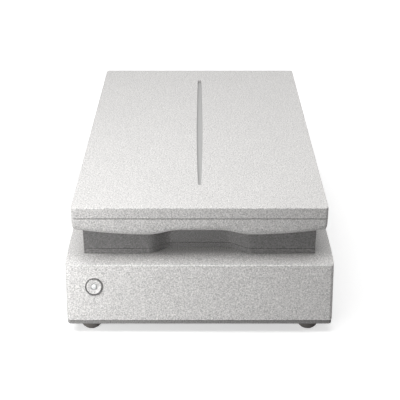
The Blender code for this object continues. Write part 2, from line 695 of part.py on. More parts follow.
def capped_shell(name, finish, bottom, top, corner_r, edge_r, wall, shelf):
    """A shell open below: four sides with draft, rounded corners and a top.

    bottom and top are (half width, front y, rear y, z). shelf is how far back and how high
    the top's front edge is before it slopes down to the front.
    """
    bm = bmesh.new()
    bmesh.ops.create_cube(bm, size=1.0)
    for vert in bm.verts:
        half, front, rear, z = top if vert.co.z > 0 else bottom
        vert.co = (math.copysign(half, vert.co.x), rear if vert.co.y > 0 else front, z)
    bmesh.ops.delete(bm, geom=[f for f in bm.faces if is_low(f, bottom[3])],
                     context="FACES_ONLY")
    depth, drop = shelf
    bmesh.ops.bisect_plane(bm, geom=bm.verts[:] + bm.edges[:] + bm.faces[:],
                           plane_co=(0, top[1] + depth, 0), plane_no=(0, 1, 0))
    for vert in bm.verts:
        if abs(vert.co.y - top[1]) < SEAT_GAP and abs(vert.co.z - top[3]) < SEAT_GAP:
            vert.co.z -= drop
            vert.co.y -= drop * LEAN_SLOPE
    bm.normal_update()
    upright = [e for e in bm.edges if is_upright(e) and len(e.link_faces) == 2
               and e.calc_face_angle() > SHARP_ANGLE]
    bmesh.ops.bevel(bm, geom=upright, offset=corner_r, segments=ROUND_STEPS, profile=0.5,
                    affect="EDGES", clamp_overlap=True)
    bm.normal_update()
    rim = [e for e in bm.edges if len(e.link_faces) == 2
           and abs(e.link_faces[0].normal.z - e.link_faces[1].normal.z) > FACING_SHARE]
    bmesh.ops.bevel(bm, geom=rim, offset=edge_r, segments=EDGE_STEPS, profile=0.5,
                    affect="EDGES", clamp_overlap=True)
    made = object_from_bmesh(bm, name, finish)
    shell = made.modifiers.new("wall", "SOLIDIFY")
    shell.thickness = wall
    shell.offset = -1
    shell.use_even_offset = True
    return made


def is_low(face, z):
    return all(abs(vert.co.z - z) < SEAT_GAP for vert in face.verts)


def is_upright(edge):
    along = edge.verts[1].co - edge.verts[0].co
    return abs(along.z) > UPRIGHT_SHARE * along.length


def make_upper_case():
    bottom = (case_half(CASE_BOTTOM_Z), CASE_FRONT_Y, CASE_REAR_Y, CASE_BOTTOM_Z)
    top = (CASE_HALF, case_front_y(DECK_Z), CASE_REAR_Y, DECK_Z)
    case = capped_shell("upper_case", SILVER, bottom, top, CASE_CORNER_R, CASE_EDGE_R, CASE_WALL,
                        shelf=(SHELF_DEPTH, DECK_Z - CREASE_Z))
    for side in (-1, 1):
        sleeve = box("sleeve", (side * HINGE_X - SLEEVE_HALF,
                                HINGE_Y - POST_THICKNESS / 2 - POST_GAP - SLEEVE_WALL,
                                SLEEVE_BOTTOM_Z),
                     (side * HINGE_X + SLEEVE_HALF,
                      HINGE_Y + POST_THICKNESS / 2 + POST_GAP + SLEEVE_WALL,
                      DECK_Z - CASE_WALL / 2))
        socket = box("socket", (side * HINGE_X - POST_WIDTH / 2 - POST_GAP,
                                HINGE_Y - POST_THICKNESS / 2 - POST_GAP,
                                SLEEVE_BOTTOM_Z - OVERRUN),
                     (side * HINGE_X + POST_WIDTH / 2 + POST_GAP,
                      HINGE_Y + POST_THICKNESS / 2 + POST_GAP, DECK_Z + OVERRUN))
        join(case, sleeve)
        cut(case, socket)
    window = plate("window", [rounded_rectangle(WINDOW_HALF, WINDOW_FRONT_Y, WINDOW_REAR_Y,
                                                CASE_EDGE_R)],
                   DECK_Z - CASE_WALL - OVERRUN, DECK_Z + OVERRUN)
    half = WINDOW_HALF + GLASS_LAP + SEAT_GAP
    rabbet = box("rabbet", (-half, GLASS_FRONT_Y - SEAT_GAP, DECK_Z - CASE_WALL - OVERRUN),
                 (half, GLASS_REAR_Y + SEAT_GAP, DECK_Z - WINDOW_LIP))
    cut(case, window, rabbet)
    face = front_face_point()
    inward = front_inward()
    for side in (-1, 1):
        start = face + inward * CASE_WALL / 2
        start.x += side * (BUTTON_BOARD_WIDTH / 2 - BUTTON_STEM_R)
        end = start + inward * (BUTTON_BOARD_SETBACK - CASE_WALL / 2 - SEAT_GAP)
        join(case, cylinder("board_boss", start, end, BUTTON_STEM_R / 2, steps=12))
    hole = cylinder("button_hole", face - inward * OVERRUN, face + inward * OVERRUN,
                    RING_R - RING_LIP + SEAT_GAP)
    cut(case, hole)
    cut_rear_openings(case)


def cut_rear_openings(case):
    """A hole round each socket, through whichever case's rear wall stands there."""
    low_z = socket_bottom_z()
    for x, width, height in sockets():
        reach = width / 2 + SOCKET_MARGIN + SEAT_GAP
        cut(case, box("rear_opening", (x - reach, CASE_REAR_Y - SOCKET_REACH, low_z - SEAT_GAP),
                      (x + reach, CASE_REAR_Y + OVERRUN,
                       low_z + height + 2 * SOCKET_MARGIN + SEAT_GAP)))


def front_face_point():
    return Vector((BUTTON_X, case_front_y(BUTTON_Z), BUTTON_Z))


def front_inward():
    """The direction into the leaning front face, square to it."""
    return Vector((0, math.cos(FRONT_LEAN), -math.sin(FRONT_LEAN)))


def sockets():
    return ((USB_X, USB_WIDTH, USB_HEIGHT), (INLET_X, INLET_WIDTH, INLET_HEIGHT),
            (FILM_SOCKET_X, FILM_SOCKET_WIDTH, FILM_SOCKET_HEIGHT))


def socket_bottom_z():
    return MAIN_BOARD_Z + BOARD_THICKNESS + SEAT_GAP


def make_lower_case():
    """An open tray; its walls stand inside the upper case's skirt and its rim runs below it."""
    def ring(z, inset, front_z):
        half = case_half(CASE_BOTTOM_Z) - inset
        front = case_front_y(front_z) + inset
        rear = CASE_REAR_Y - inset
        return [(x, y, z) for x, y in rounded_rectangle(half, front, rear, TRAY_CORNER_R)]

    tuck = WALL_ALONG_Y + SEAT_GAP
    rim_z = CASE_BOTTOM_Z - TRAY_RIM_GAP
    turn = TRAY_EDGE_R * TRAY_EDGE_SHARE
    within = tuck + TRAY_WALL
    rings = [ring(TRAY_BOTTOM_Z, TRAY_RIM_INSET + TRAY_EDGE_R, CASE_BOTTOM_Z),
             ring(TRAY_BOTTOM_Z + turn, TRAY_RIM_INSET + turn, CASE_BOTTOM_Z),
             ring(TRAY_BOTTOM_Z + TRAY_EDGE_R, TRAY_RIM_INSET, CASE_BOTTOM_Z),
             ring(rim_z, TRAY_RIM_INSET, CASE_BOTTOM_Z),
             ring(rim_z, tuck, CASE_BOTTOM_Z), ring(TRAY_TOP_Z, tuck, TRAY_TOP_Z),
             ring(TRAY_TOP_Z, within, TRAY_TOP_Z), ring(FLOOR_Z, within, CASE_BOTTOM_Z)]
    tray = lofted("lower_case", rings, TRAY_GREY, close_first=True, close_last=True)
    sink = TRAY_WALL / 2
    for y in (SHAFT_FRONT_Y, SHAFT_REAR_Y - SHAFT_PILLAR):
        join(tray, box("shaft_pillar", (SHAFT_X - SHAFT_R, y, FLOOR_Z - sink),
                       (SHAFT_X + SHAFT_R, y + SHAFT_PILLAR, SHAFT_Z - SHAFT_R - SEAT_GAP)))
    board_half = MAIN_BOARD_HALF - STANDOFF
    for x in (MAIN_BOARD_X - board_half, MAIN_BOARD_X + board_half):
        for y in (MAIN_BOARD_FRONT_Y + STANDOFF, MAIN_BOARD_REAR_Y - STANDOFF):
            join(tray, box("standoff", (x - STANDOFF / 2, y - STANDOFF / 2, FLOOR_Z - sink),
                           (x + STANDOFF / 2, y + STANDOFF / 2, MAIN_BOARD_Z - SEAT_GAP)))
    slot_half = LOCK_KNOB_LENGTH / 2
    slot = box("lock_slot", (LOCK_X - slot_half - SEAT_GAP, LOCK_Y - LOCK_KNOB_WIDTH / 2 - SEAT_GAP,
                             TRAY_BOTTOM_Z - OVERRUN),
               (LOCK_X + slot_half + LOCK_TRAVEL + SEAT_GAP,
                LOCK_Y + LOCK_KNOB_WIDTH / 2 + SEAT_GAP, FLOOR_Z + OVERRUN / 2))
    cut(tray, slot)
    cut_rear_openings(tray)


def make_feet():
    profile = [(0, 0)]
    arc_steps = 5
    for step in range(arc_steps + 1):
        turn = math.radians(90) * step / arc_steps
        profile.append((FOOT_SOLE_R + (FOOT_R - FOOT_SOLE_R) * math.sin(turn),
                        (TRAY_BOTTOM_Z - SEAT_GAP) * FOOT_ROUND_SHARE * (1 - math.cos(turn))))
    profile += [(FOOT_R, TRAY_BOTTOM_Z - SEAT_GAP), (0, TRAY_BOTTOM_Z - SEAT_GAP)]
    profile.reverse()
    x = CASE_HALF - FOOT_INSET_X
    rows = (("front", CASE_FRONT_Y + FOOT_INSET_FRONT), ("rear", CASE_REAR_Y - FOOT_INSET_REAR))
    for row, y in rows:
        for side, sign in (("left", -1), ("right", 1)):
            turned(f"foot_{row}_{side}", profile, RUBBER, (sign * x, y, 0), steps=24)


def make_platen():
    half = WINDOW_HALF
    box("platen_glass", (-half - GLASS_LAP, GLASS_FRONT_Y, GLASS_BOTTOM_Z),
        (half + GLASS_LAP, GLASS_REAR_Y, GLASS_TOP_Z), GLASS)
    top = GLASS_BOTTOM_Z - SEAT_GAP
    middle = (GLASS_FRONT_Y + WINDOW_FRONT_Y) / 2
    box("calibration_strip", (-half, middle - STRIP_LENGTH / 2, top - STRIP_THICKNESS),
        (half, middle + STRIP_LENGTH / 2, top), WHITE)


def make_power_button():
    """A round key in a dark ring, with a small light in its middle."""
    face = front_face_point()
    outward = -front_inward()
    bore = RING_R - RING_LIP - RING_WALL
    ring = [(bore, RING_LIP), (RING_R, RING_LIP / 2), (RING_R, SEAT_GAP),
            (bore + RING_WALL, SEAT_GAP), (bore + RING_WALL, -RING_DEPTH), (bore, -RING_DEPTH)]
    turned("button_ring", ring, DARK, face, outward)
    back = BUTTON_PROUD - BUTTON_LENGTH
    socket = LENS_R + SEAT_GAP
    key = [(socket, BUTTON_PROUD - BUTTON_DISH), (BUTTON_R - 2 * BUTTON_DISH, BUTTON_PROUD),
           (BUTTON_R - BUTTON_DISH, BUTTON_PROUD), (BUTTON_R, BUTTON_PROUD - BUTTON_DISH),
           (BUTTON_R, back), (BUTTON_STEM_R, back), (BUTTON_STEM_R, stem_end()),
           (0, stem_end()), (0, lens_seat()), (socket, lens_seat())]
    turned("power_button", key, SILVER, face, outward)
    seat = lens_seat() + SEAT_GAP
    dome = [(0, seat + LENS_LENGTH), (LENS_R / 2, seat + LENS_LENGTH * LENS_DOME_SHARE),
            (LENS_R, seat + LENS_LENGTH * LENS_EDGE_SHARE), (LENS_R, seat), (0, seat)]
    turned("button_lens", dome, WHITE, face, outward)
    board_centre = face + front_inward() * (BUTTON_BOARD_SETBACK + BOARD_THICKNESS / 2)
    half = Vector((BUTTON_BOARD_WIDTH / 2, BUTTON_BOARD_HEIGHT / 2, BOARD_THICKNESS / 2))
    board = box("button_board", -half, half, BOARD)
    board.rotation_mode = "QUATERNION"
    board.rotation_quaternion = Vector((0, 0, 1)).rotation_difference(outward)
    board.location = board_centre
    steps = 8
    rest = BUTTON_BOARD_SETBACK - SEAT_GAP - BUTTON_SPRING_WIRE
    free = rest - (BUTTON_LENGTH - BUTTON_PROUD + SEAT_GAP + BUTTON_SPRING_WIRE)
    turn = Vector((0, 0, 1)).rotation_difference(outward)
    coil = []
    for step in range(BUTTON_SPRING_TURNS * steps + 1):
        angle = 2 * math.pi * step / steps
        share = step / (BUTTON_SPRING_TURNS * steps)
        local = Vector((BUTTON_SPRING_R * math.cos(angle), BUTTON_SPRING_R * math.sin(angle),
                        -rest + free * share))
        coil.append(face + turn @ local)
    tube("button_spring", coil, BUTTON_SPRING_WIRE, STEEL)


def lens_seat():
    return BUTTON_PROUD - BUTTON_DISH - LENS_LENGTH


def stem_end():
    """The stem stops one press and a gap short of the switch board."""
    return -(BUTTON_BOARD_SETBACK - BUTTON_TRAVEL - 2 * SEAT_GAP)


def make_guides():
    cylinder("guide_shaft", (SHAFT_X, SHAFT_FRONT_Y, SHAFT_Z), (SHAFT_X, SHAFT_REAR_Y, SHAFT_Z),
             SHAFT_R, STEEL, steps=24)
    box("glide_rail", (RAIL_X - RAIL_WIDTH / 2, SHAFT_FRONT_Y, FLOOR_Z + SEAT_GAP),
        (RAIL_X + RAIL_WIDTH / 2, SHAFT_REAR_Y, CARRIAGE_BOTTOM_Z - SEAT_GAP), NYLON)


def make_carriage():
    """A tray with the lamp, two mirrors, a lens and a line sensor, under a slotted cover."""
    half = CARRIAGE_HALF
    cover_z = CARRIAGE_TOP_Z - CARRIAGE_COVER_THICKNESS
    low = (-half, CARRIAGE_FRONT_Y, CARRIAGE_BOTTOM_Z)
    tray = box("carriage_tray", low, (half, CARRIAGE_REAR_Y, cover_z - SEAT_GAP), BLACK)
    hollow = box("tray_hollow", (-half + CARRIAGE_WALL, CARRIAGE_FRONT_Y + CARRIAGE_WALL,
                                 CARRIAGE_BOTTOM_Z + CARRIAGE_WALL),
                 (half - CARRIAGE_WALL, CARRIAGE_REAR_Y - CARRIAGE_WALL, cover_z + OVERRUN))
    cut(tray, hollow)
    bush_r = SHAFT_R + BUSH_WALL
    for y in (CARRIAGE_FRONT_Y, CARRIAGE_REAR_Y - BUSH_LENGTH):
        join(tray, box("bush_block", (SHAFT_X - bush_r, y, SHAFT_Z - bush_r),
                       (SHAFT_X + bush_r, y + BUSH_LENGTH, CARRIAGE_BOTTOM_Z + CARRIAGE_WALL / 2)))
    cut(tray, cylinder("bush_bore", (SHAFT_X, CARRIAGE_FRONT_Y - OVERRUN, SHAFT_Z),
                       (SHAFT_X, CARRIAGE_REAR_Y + OVERRUN, SHAFT_Z), SHAFT_R + AXLE_GAP,
                       steps=24))
    saddle_top = lens_z() - LENS_BARREL_R - SEAT_GAP
    join(tray, box("lens_saddle", (-LENS_BARREL_R, LENS_BARREL_Y - LENS_BARREL_LENGTH / 2,
                                   CARRIAGE_BOTTOM_Z + CARRIAGE_WALL / 2),
                   (LENS_BARREL_R, LENS_BARREL_Y + LENS_BARREL_LENGTH / 2, saddle_top)))
    catch_x = LOCK_X + LOCK_KNOB_LENGTH / 2 + LOCK_TRAVEL - LOCK_TAB_THICKNESS
    catch_low = LOCK_Y - LOCK_TAB_WIDTH / 2 - SEAT_GAP - LOCK_CATCH_WIDTH
    for y in (catch_low, LOCK_Y + LOCK_TAB_WIDTH / 2 + SEAT_GAP):
        join(tray, box("lock_catch", (catch_x, y, CARRIAGE_BOTTOM_Z - LOCK_TAB_RISE),
                       (catch_x + LOCK_TRAVEL, y + LOCK_CATCH_WIDTH,
                        CARRIAGE_BOTTOM_Z + CARRIAGE_WALL / 2)))
    clamp_x = BELT_X - PULLEY_R - SEAT_GAP - BELT_THICKNESS / 2
    clamp_y = CARRIAGE_FRONT_Y + CARRIAGE_DEPTH / 2
    grip = BELT_THICKNESS / 2 + SEAT_GAP
    join(tray, box("belt_clamp", (clamp_x - CLAMP_WIDTH / 2, clamp_y - CLAMP_LENGTH / 2,
                                  BELT_BOTTOM_Z - SEAT_GAP - CLAMP_WALL),
                   (clamp_x + CLAMP_WIDTH / 2, clamp_y + CLAMP_LENGTH / 2,
                    CARRIAGE_BOTTOM_Z + CARRIAGE_WALL / 2)))
    cut(tray, box("belt_groove", (clamp_x - grip, clamp_y - CLAMP_LENGTH,
                                  BELT_BOTTOM_Z - SEAT_GAP),
                  (clamp_x + grip, clamp_y + CLAMP_LENGTH,
                   BELT_BOTTOM_Z + BELT_WIDTH + SEAT_GAP)))

    slot_low = SCAN_SLOT_Y - SCAN_SLOT_WIDTH / 2
    slot_half = half - SCAN_SLOT_MARGIN
    plate("carriage_cover", [
        rounded_rectangle(half, CARRIAGE_FRONT_Y, CARRIAGE_REAR_Y, CARRIAGE_WALL, 2),
        rounded_rectangle(slot_half, slot_low, slot_low + SCAN_SLOT_WIDTH, CARRIAGE_WALL / 2, 2),
    ], cover_z, CARRIAGE_TOP_Z, BLACK)

    inner = CARRIAGE_INNER_HALF - SEAT_GAP
    lamp_y = SCAN_SLOT_Y - LAMP_OFFSET
    lamp_z = cover_z - LAMP_DROP
    cylinder("scan_lamp", (-inner, lamp_y, lamp_z), (inner, lamp_y, lamp_z), SCAN_LAMP_R, LAMP,
             steps=12)
    make_reflector("lamp_reflector", inner, lamp_y, lamp_z)
    make_mirror("rear_mirror", inner, SCAN_SLOT_Y + MIRROR_OFFSET, REAR_MIRROR_Z,
                REAR_MIRROR_TILT)
    make_mirror("front_mirror", inner, CARRIAGE_FRONT_Y + FRONT_MIRROR_SETBACK, FRONT_MIRROR_Z,
                FRONT_MIRROR_TILT)
    lens_low = LENS_BARREL_Y - LENS_BARREL_LENGTH / 2
    cylinder("lens_barrel", (0, lens_low, lens_z()),
             (0, lens_low + LENS_BARREL_LENGTH, lens_z()), LENS_BARREL_R, BLACK)
    board_y = CARRIAGE_REAR_Y - CARRIAGE_WALL - SEAT_GAP
    board_low = CARRIAGE_BOTTOM_Z + CARRIAGE_WALL + SEAT_GAP
    box("sensor_board", (-SENSOR_BOARD_WIDTH / 2, board_y - BOARD_THICKNESS, board_low),
        (SENSOR_BOARD_WIDTH / 2, board_y, board_low + SENSOR_BOARD_SHARE * CARRIAGE_HEIGHT),
        BOARD)


def lens_z():
    return CARRIAGE_BOTTOM_Z + CARRIAGE_WALL + LENS_SADDLE_HEIGHT + LENS_BARREL_R


def make_reflector(name, half, y, z):
    """A folded trough under a lamp tube, run along X."""
    wide, deep, wall = REFLECTOR_WIDTH / 2, REFLECTOR_DEPTH, REFLECTOR_WALL
    outer = [(-wide, 0), (-wide / 2, -deep), (wide / 2, -deep), (wide, 0)]
    inner = [(wide - wall * 2, 0), (wide / 2 - wall, -deep + wall), (-wide / 2 + wall, -deep + wall),
             (-wide + wall * 2, 0)]
    turn = Matrix(((0, 0, 1, 0), (1, 0, 0, y), (0, 1, 0, z), (0, 0, 0, 1)))
    plate(name, [outer + inner], -half, half, ZINC, turn)


def make_mirror(name, half, y, z, tilt):
    size = Vector((half, MIRROR_WIDTH / 2, MIRROR_THICKNESS / 2))
    mirror = box(name, -size, size, MIRROR)
    mirror.rotation_euler = (tilt, 0, 0)
    mirror.location = (0, y, z)


def belt_outline(x, front_y, rear_y, radius, steps=12):
    """A race-track outline round two pulleys, as flat points."""
    points = []
    for y, start in ((rear_y, 0), (front_y, 180)):
        for step in range(steps + 1):
            angle = math.radians(start + 180 * step / steps)
            points.append((x + radius * math.cos(angle), y + radius * math.sin(angle)))
    return points


def make_belt(name, x, front_y, rear_y, radius, thickness, low_z, width):
    plate(name, [belt_outline(x, front_y, rear_y, radius + thickness),
                 belt_outline(x, front_y, rear_y, radius)], low_z, low_z + width, BELTING)


def pulley_profile(bore, radius, flange_r, flange, low, high):
    return [(bore, high), (flange_r, high), (flange_r, high - flange), (radius, high - flange),
            (radius, low + flange), (flange_r, low + flange), (flange_r, low), (bore, low)]


def gear_outline(teeth, radius):
    """A wheel's outline with straight-sided teeth, thin enough to leave backlash."""
    tip = radius + TOOTH_MODULE * TOOTH_TIP_SHARE
    root = radius - TOOTH_MODULE * TOOTH_ROOT_SHARE
    points = []
    for tooth in range(teeth):
        middle = 2 * math.pi * tooth / teeth
        pitch = 2 * math.pi / teeth
        for reach, share in ((root, -TOOTH_FOOT_SHARE), (tip, -TOOTH_LAND_SHARE),
                             (tip, TOOTH_LAND_SHARE), (root, TOOTH_FOOT_SHARE)):
            points.append((reach * math.cos(middle + share * pitch),
                           reach * math.sin(middle + share * pitch)))
    return points


def make_carriage_drive():
    """Motor, pinion, drive gear with its pulley, idler and toothed belt."""
    belt_r = PULLEY_R + SEAT_GAP
    make_belt("drive_belt", BELT_X, BELT_FRONT_Y, BELT_REAR_Y, belt_r, BELT_THICKNESS,
              BELT_BOTTOM_Z, BELT_WIDTH)
    pulley_low = BELT_BOTTOM_Z - SEAT_GAP - PULLEY_FLANGE
    gear_high = pulley_low
    gear_low = gear_high - GEAR_WIDTH
    bore = AXLE_R + AXLE_GAP
    pitch = 2 * math.pi / GEAR_TEETH
    gear = plate("drive_gear", [gear_outline(GEAR_TEETH, GEAR_R)], gear_low, gear_high, NYLON)
    gear.location.x = BELT_X
    gear.location.y = BELT_REAR_Y
    gear.rotation_euler.z = PINION_BEARING - pitch * round(PINION_BEARING / pitch) + pitch / 2
    hub = turned("drive_pulley", pulley_profile(0, PULLEY_R, PULLEY_FLANGE_R, PULLEY_FLANGE,
                                                gear_high - GEAR_WIDTH / 2, PULLEY_TOP_Z),
                 None, (BELT_X, BELT_REAR_Y, 0))
    join(gear, hub)
    cut(gear, cylinder("gear_bore", (BELT_X, BELT_REAR_Y, gear_low - OVERRUN),
                       (BELT_X, BELT_REAR_Y, PULLEY_TOP_Z + OVERRUN), bore))
    pinion = plate("motor_pinion", [gear_outline(PINION_TEETH, PINION_R)], gear_low, gear_high,
                   STEEL)
    pinion.location.x = MOTOR_X
    pinion.location.y = MOTOR_Y
    pinion.rotation_euler.z = PINION_BEARING + math.pi
    plate_low = PULLEY_TOP_Z + SEAT_GAP
    cut(pinion, cylinder("pinion_bore", (MOTOR_X, MOTOR_Y, gear_low - OVERRUN),
                         (MOTOR_X, MOTOR_Y, gear_high + OVERRUN), MOTOR_SHAFT_R + SEAT_GAP,
                         steps=12))
    plate_high = plate_low + BRACKET_THICKNESS
    left, right = DRIVE_LEFT_X, DRIVE_RIGHT_X
    front = BELT_REAR_Y - PULLEY_FLANGE_R
    rear = MOTOR_Y + MOTOR_R + BRACKET_MARGIN
    bracket = box("motor_bracket", (left, front, plate_low), (right, rear, plate_high), ZINC)
    foot_z = FLOOR_Z + SEAT_GAP
    for low_x in (left, right - BRACKET_LEG):
        join(bracket, box("bracket_leg", (low_x, front, foot_z),
                          (low_x + BRACKET_LEG, rear, plate_low + BRACKET_THICKNESS / 2)))
    join(bracket, cylinder("gear_axle", (BELT_X, BELT_REAR_Y, foot_z),
                           (BELT_X, BELT_REAR_Y, plate_low + BRACKET_THICKNESS / 2), AXLE_R,
                           steps=16))
    cut(bracket, cylinder("shaft_hole", (MOTOR_X, MOTOR_Y, plate_low - OVERRUN),
                          (MOTOR_X, MOTOR_Y, plate_high + OVERRUN), SHAFT_HOLE_R, steps=16))
    motor_low = plate_high + SEAT_GAP
    motor = cylinder("scan_motor", (MOTOR_X, MOTOR_Y, motor_low),
                     (MOTOR_X, MOTOR_Y, motor_low + MOTOR_HEIGHT), MOTOR_R, STEEL, steps=32)
    join(motor, cylinder("motor_shaft", (MOTOR_X, MOTOR_Y, gear_low),
                         (MOTOR_X, MOTOR_Y, motor_low + MOTOR_HEIGHT / 2), MOTOR_SHAFT_R,
                         steps=12))
    idler = pulley_profile(bore, PULLEY_R, PULLEY_FLANGE_R, PULLEY_FLANGE, pulley_low,
                           PULLEY_TOP_Z)
    turned("idler_pulley", idler, NYLON, (BELT_X, BELT_FRONT_Y, 0))
    base_z = FLOOR_Z + SEAT_GAP
    base = box("idler_bracket", (BELT_X - IDLER_BASE_WIDTH / 2, BELT_FRONT_Y - PULLEY_R, base_z),
               (BELT_X + IDLER_BASE_WIDTH / 2, BELT_FRONT_Y - PULLEY_R + IDLER_BASE_LENGTH,
                base_z + IDLER_BASE_THICKNESS), ZINC)
    join(base, cylinder("idler_pin", (BELT_X, BELT_FRONT_Y, base_z + IDLER_BASE_THICKNESS / 2),
                        (BELT_X, BELT_FRONT_Y, PULLEY_TOP_Z), AXLE_R, steps=16))
    join(base, cylinder("idler_shoulder", (BELT_X, BELT_FRONT_Y, base_z + IDLER_BASE_THICKNESS / 2),
                        (BELT_X, BELT_FRONT_Y, pulley_low - SEAT_GAP), IDLER_SHOULDER_R, steps=16))
    make_tension_spring(base_z)


def make_tension_spring(base_z):
    """A small coil that pulls the idler bracket forwards to a peg on the floor."""
    steps = 8
    start = BELT_FRONT_Y - PULLEY_R + IDLER_BASE_LENGTH + SEAT_GAP + TENSION_SPRING_WIRE
    x = BELT_X
    z = base_z + TENSION_SPRING_R + TENSION_SPRING_WIRE
    coil = []
    for step in range(TENSION_SPRING_TURNS * steps + 1):
        angle = 2 * math.pi * step / steps
        coil.append((x + TENSION_SPRING_R * math.cos(angle),
                     start + TENSION_SPRING_PITCH * step / steps,
                     z + TENSION_SPRING_R * math.sin(angle)))
    tube("tension_spring", coil, TENSION_SPRING_WIRE, STEEL)


def make_ribbon():
    """A flat cable that lies on the floor, folds over and runs back to the carriage."""
    low = FLOOR_Z + SEAT_GAP
    front = CARRIAGE_FRONT_Y + CARRIAGE_DEPTH / 2
    rear = MAIN_BOARD_FRONT_Y - SEAT_GAP
    rise = CARRIAGE_BOTTOM_Z - SEAT_GAP - low
    bend = rise / 2
    middle = low + bend
    steps = 6
    outer, inner = [], []
    for step in range(steps + 1):
        angle = math.radians(90 + 180 * step / steps)
        for line, radius in ((outer, bend), (inner, bend - RIBBON_THICKNESS)):
            line.append((front + radius * math.cos(angle), middle + radius * math.sin(angle)))
    tail = front + RIBBON_TAIL
    outline = [(tail, low + rise)] + outer + [(rear, low), (rear, low + RIBBON_THICKNESS)]
    outline += inner[::-1] + [(tail, low + rise - RIBBON_THICKNESS)]
    turn = Matrix(((0, 0, 1, 0), (1, 0, 0, 0), (0, 1, 0, 0), (0, 0, 0, 1)))
    plate("ribbon_cable", [outline], RIBBON_X - RIBBON_WIDTH / 2, RIBBON_X + RIBBON_WIDTH / 2,
          RIBBON, turn)


def make_electronics():
    box("main_board", (MAIN_BOARD_X - MAIN_BOARD_HALF, MAIN_BOARD_FRONT_Y, MAIN_BOARD_Z),
        (MAIN_BOARD_X + MAIN_BOARD_HALF, MAIN_BOARD_REAR_Y, MAIN_BOARD_Z + BOARD_THICKNESS),
        BOARD)
    names = ("usb_socket", "power_inlet", "film_unit_socket")
    finishes = (ZINC, BLACK, BLACK)
    low_z = socket_bottom_z()
    rear = CASE_REAR_Y - SEAT_GAP
    for name, finish, (x, width, height) in zip(names, finishes, sockets()):
        socket = box(name, (x - width / 2 - SOCKET_MARGIN, rear - SOCKET_REACH, low_z),
                     (x + width / 2 + SOCKET_MARGIN, rear, low_z + height + 2 * SOCKET_MARGIN),
                     finish)
        cut(socket, box("socket_mouth", (x - width / 2, rear - SOCKET_REACH + SOCKET_FLOOR,
                                         low_z + SOCKET_MARGIN),
                        (x + width / 2, rear + OVERRUN, low_z + SOCKET_MARGIN + height)))


def make_transport_lock():
    """A slider in the floor whose tab goes between two catches under the carriage."""
    plate_low = FLOOR_Z + SEAT_GAP
    lock = box("transport_lock", (LOCK_X - LOCK_PLATE_LENGTH / 2, LOCK_Y - LOCK_PLATE_WIDTH / 2,
                                  plate_low),
               (LOCK_X + LOCK_PLATE_LENGTH / 2, LOCK_Y + LOCK_PLATE_WIDTH / 2,
                plate_low + LOCK_PLATE_THICKNESS), BLACK)
    knob_half = LOCK_KNOB_LENGTH / 2
    join(lock, box("lock_knob", (LOCK_X - knob_half, LOCK_Y - LOCK_KNOB_WIDTH / 2,
                                 TRAY_BOTTOM_Z - LOCK_KNOB_GRIP),
                   (LOCK_X + knob_half, LOCK_Y + LOCK_KNOB_WIDTH / 2,
                    plate_low + LOCK_PLATE_THICKNESS / 2)))
    tab_high = LOCK_X + knob_half
    join(lock, box("lock_tab", (tab_high - LOCK_TAB_THICKNESS, LOCK_Y - LOCK_TAB_WIDTH / 2,
                                plate_low + LOCK_PLATE_THICKNESS / 2),
                   (tab_high, LOCK_Y + LOCK_TAB_WIDTH / 2, CARRIAGE_BOTTOM_Z - SEAT_GAP)))


def make_hinge_posts():
    """Posts that stand in the case's sockets and rise with the lid."""
    for side, sign in (("left", -1), ("right", 1)):
        x = sign * HINGE_X
        post = box(f"hinge_post_{side}", (x - POST_WIDTH / 2, HINGE_Y - POST_THICKNESS / 2,
                                          POST_BOTTOM_Z),
                   (x + POST_WIDTH / 2, HINGE_Y + POST_THICKNESS / 2, DECK_Z + SEAT_GAP), BLACK)
        shoulder_low = DECK_Z + SEAT_GAP
        join(post, box("post_shoulder", (x - POST_WIDTH / 2 - POST_SHOULDER_REACH,
                                         HINGE_Y - POST_THICKNESS / 2 - POST_SHOULDER_REACH,
                                         shoulder_low),
                       (x + POST_WIDTH / 2 + POST_SHOULDER_REACH,
                        HINGE_Y + POST_THICKNESS / 2 + POST_SHOULDER_REACH,
                        shoulder_low + POST_SHOULDER)))
        join(post, box("post_neck", (x - EYE_WIDTH / 2, HINGE_Y - POST_THICKNESS / 2,
                                     shoulder_low - POST_SHOULDER),
                       (x + EYE_WIDTH / 2, HINGE_Y + POST_THICKNESS / 2, HINGE_Z)))
        join(post, cylinder("post_eye", (x - EYE_WIDTH / 2, HINGE_Y, HINGE_Z),
                            (x + EYE_WIDTH / 2, HINGE_Y, HINGE_Z), EYE_R))
        cut(post, cylinder("post_bore", (x - EYE_WIDTH, HINGE_Y, HINGE_Z),
                           (x + EYE_WIDTH, HINGE_Y, HINGE_Z), PIN_R + PIN_GAP))
        ear = EYE_WIDTH / 2 + EAR_GAP
        reach = ear + EAR_THICKNESS + SEAT_GAP
        pin = cylinder(f"hinge_pin_{side}", (x - reach, HINGE_Y, HINGE_Z),
                       (x + reach + PIN_HEAD / 2, HINGE_Y, HINGE_Z), PIN_R, STEEL, steps=20)
        join(pin, cylinder("pin_head", (x + reach, HINGE_Y, HINGE_Z),
                           (x + reach + PIN_HEAD, HINGE_Y, HINGE_Z), PIN_HEAD_R, steps=20))
        make_hinge_bracket(side, x, ear)


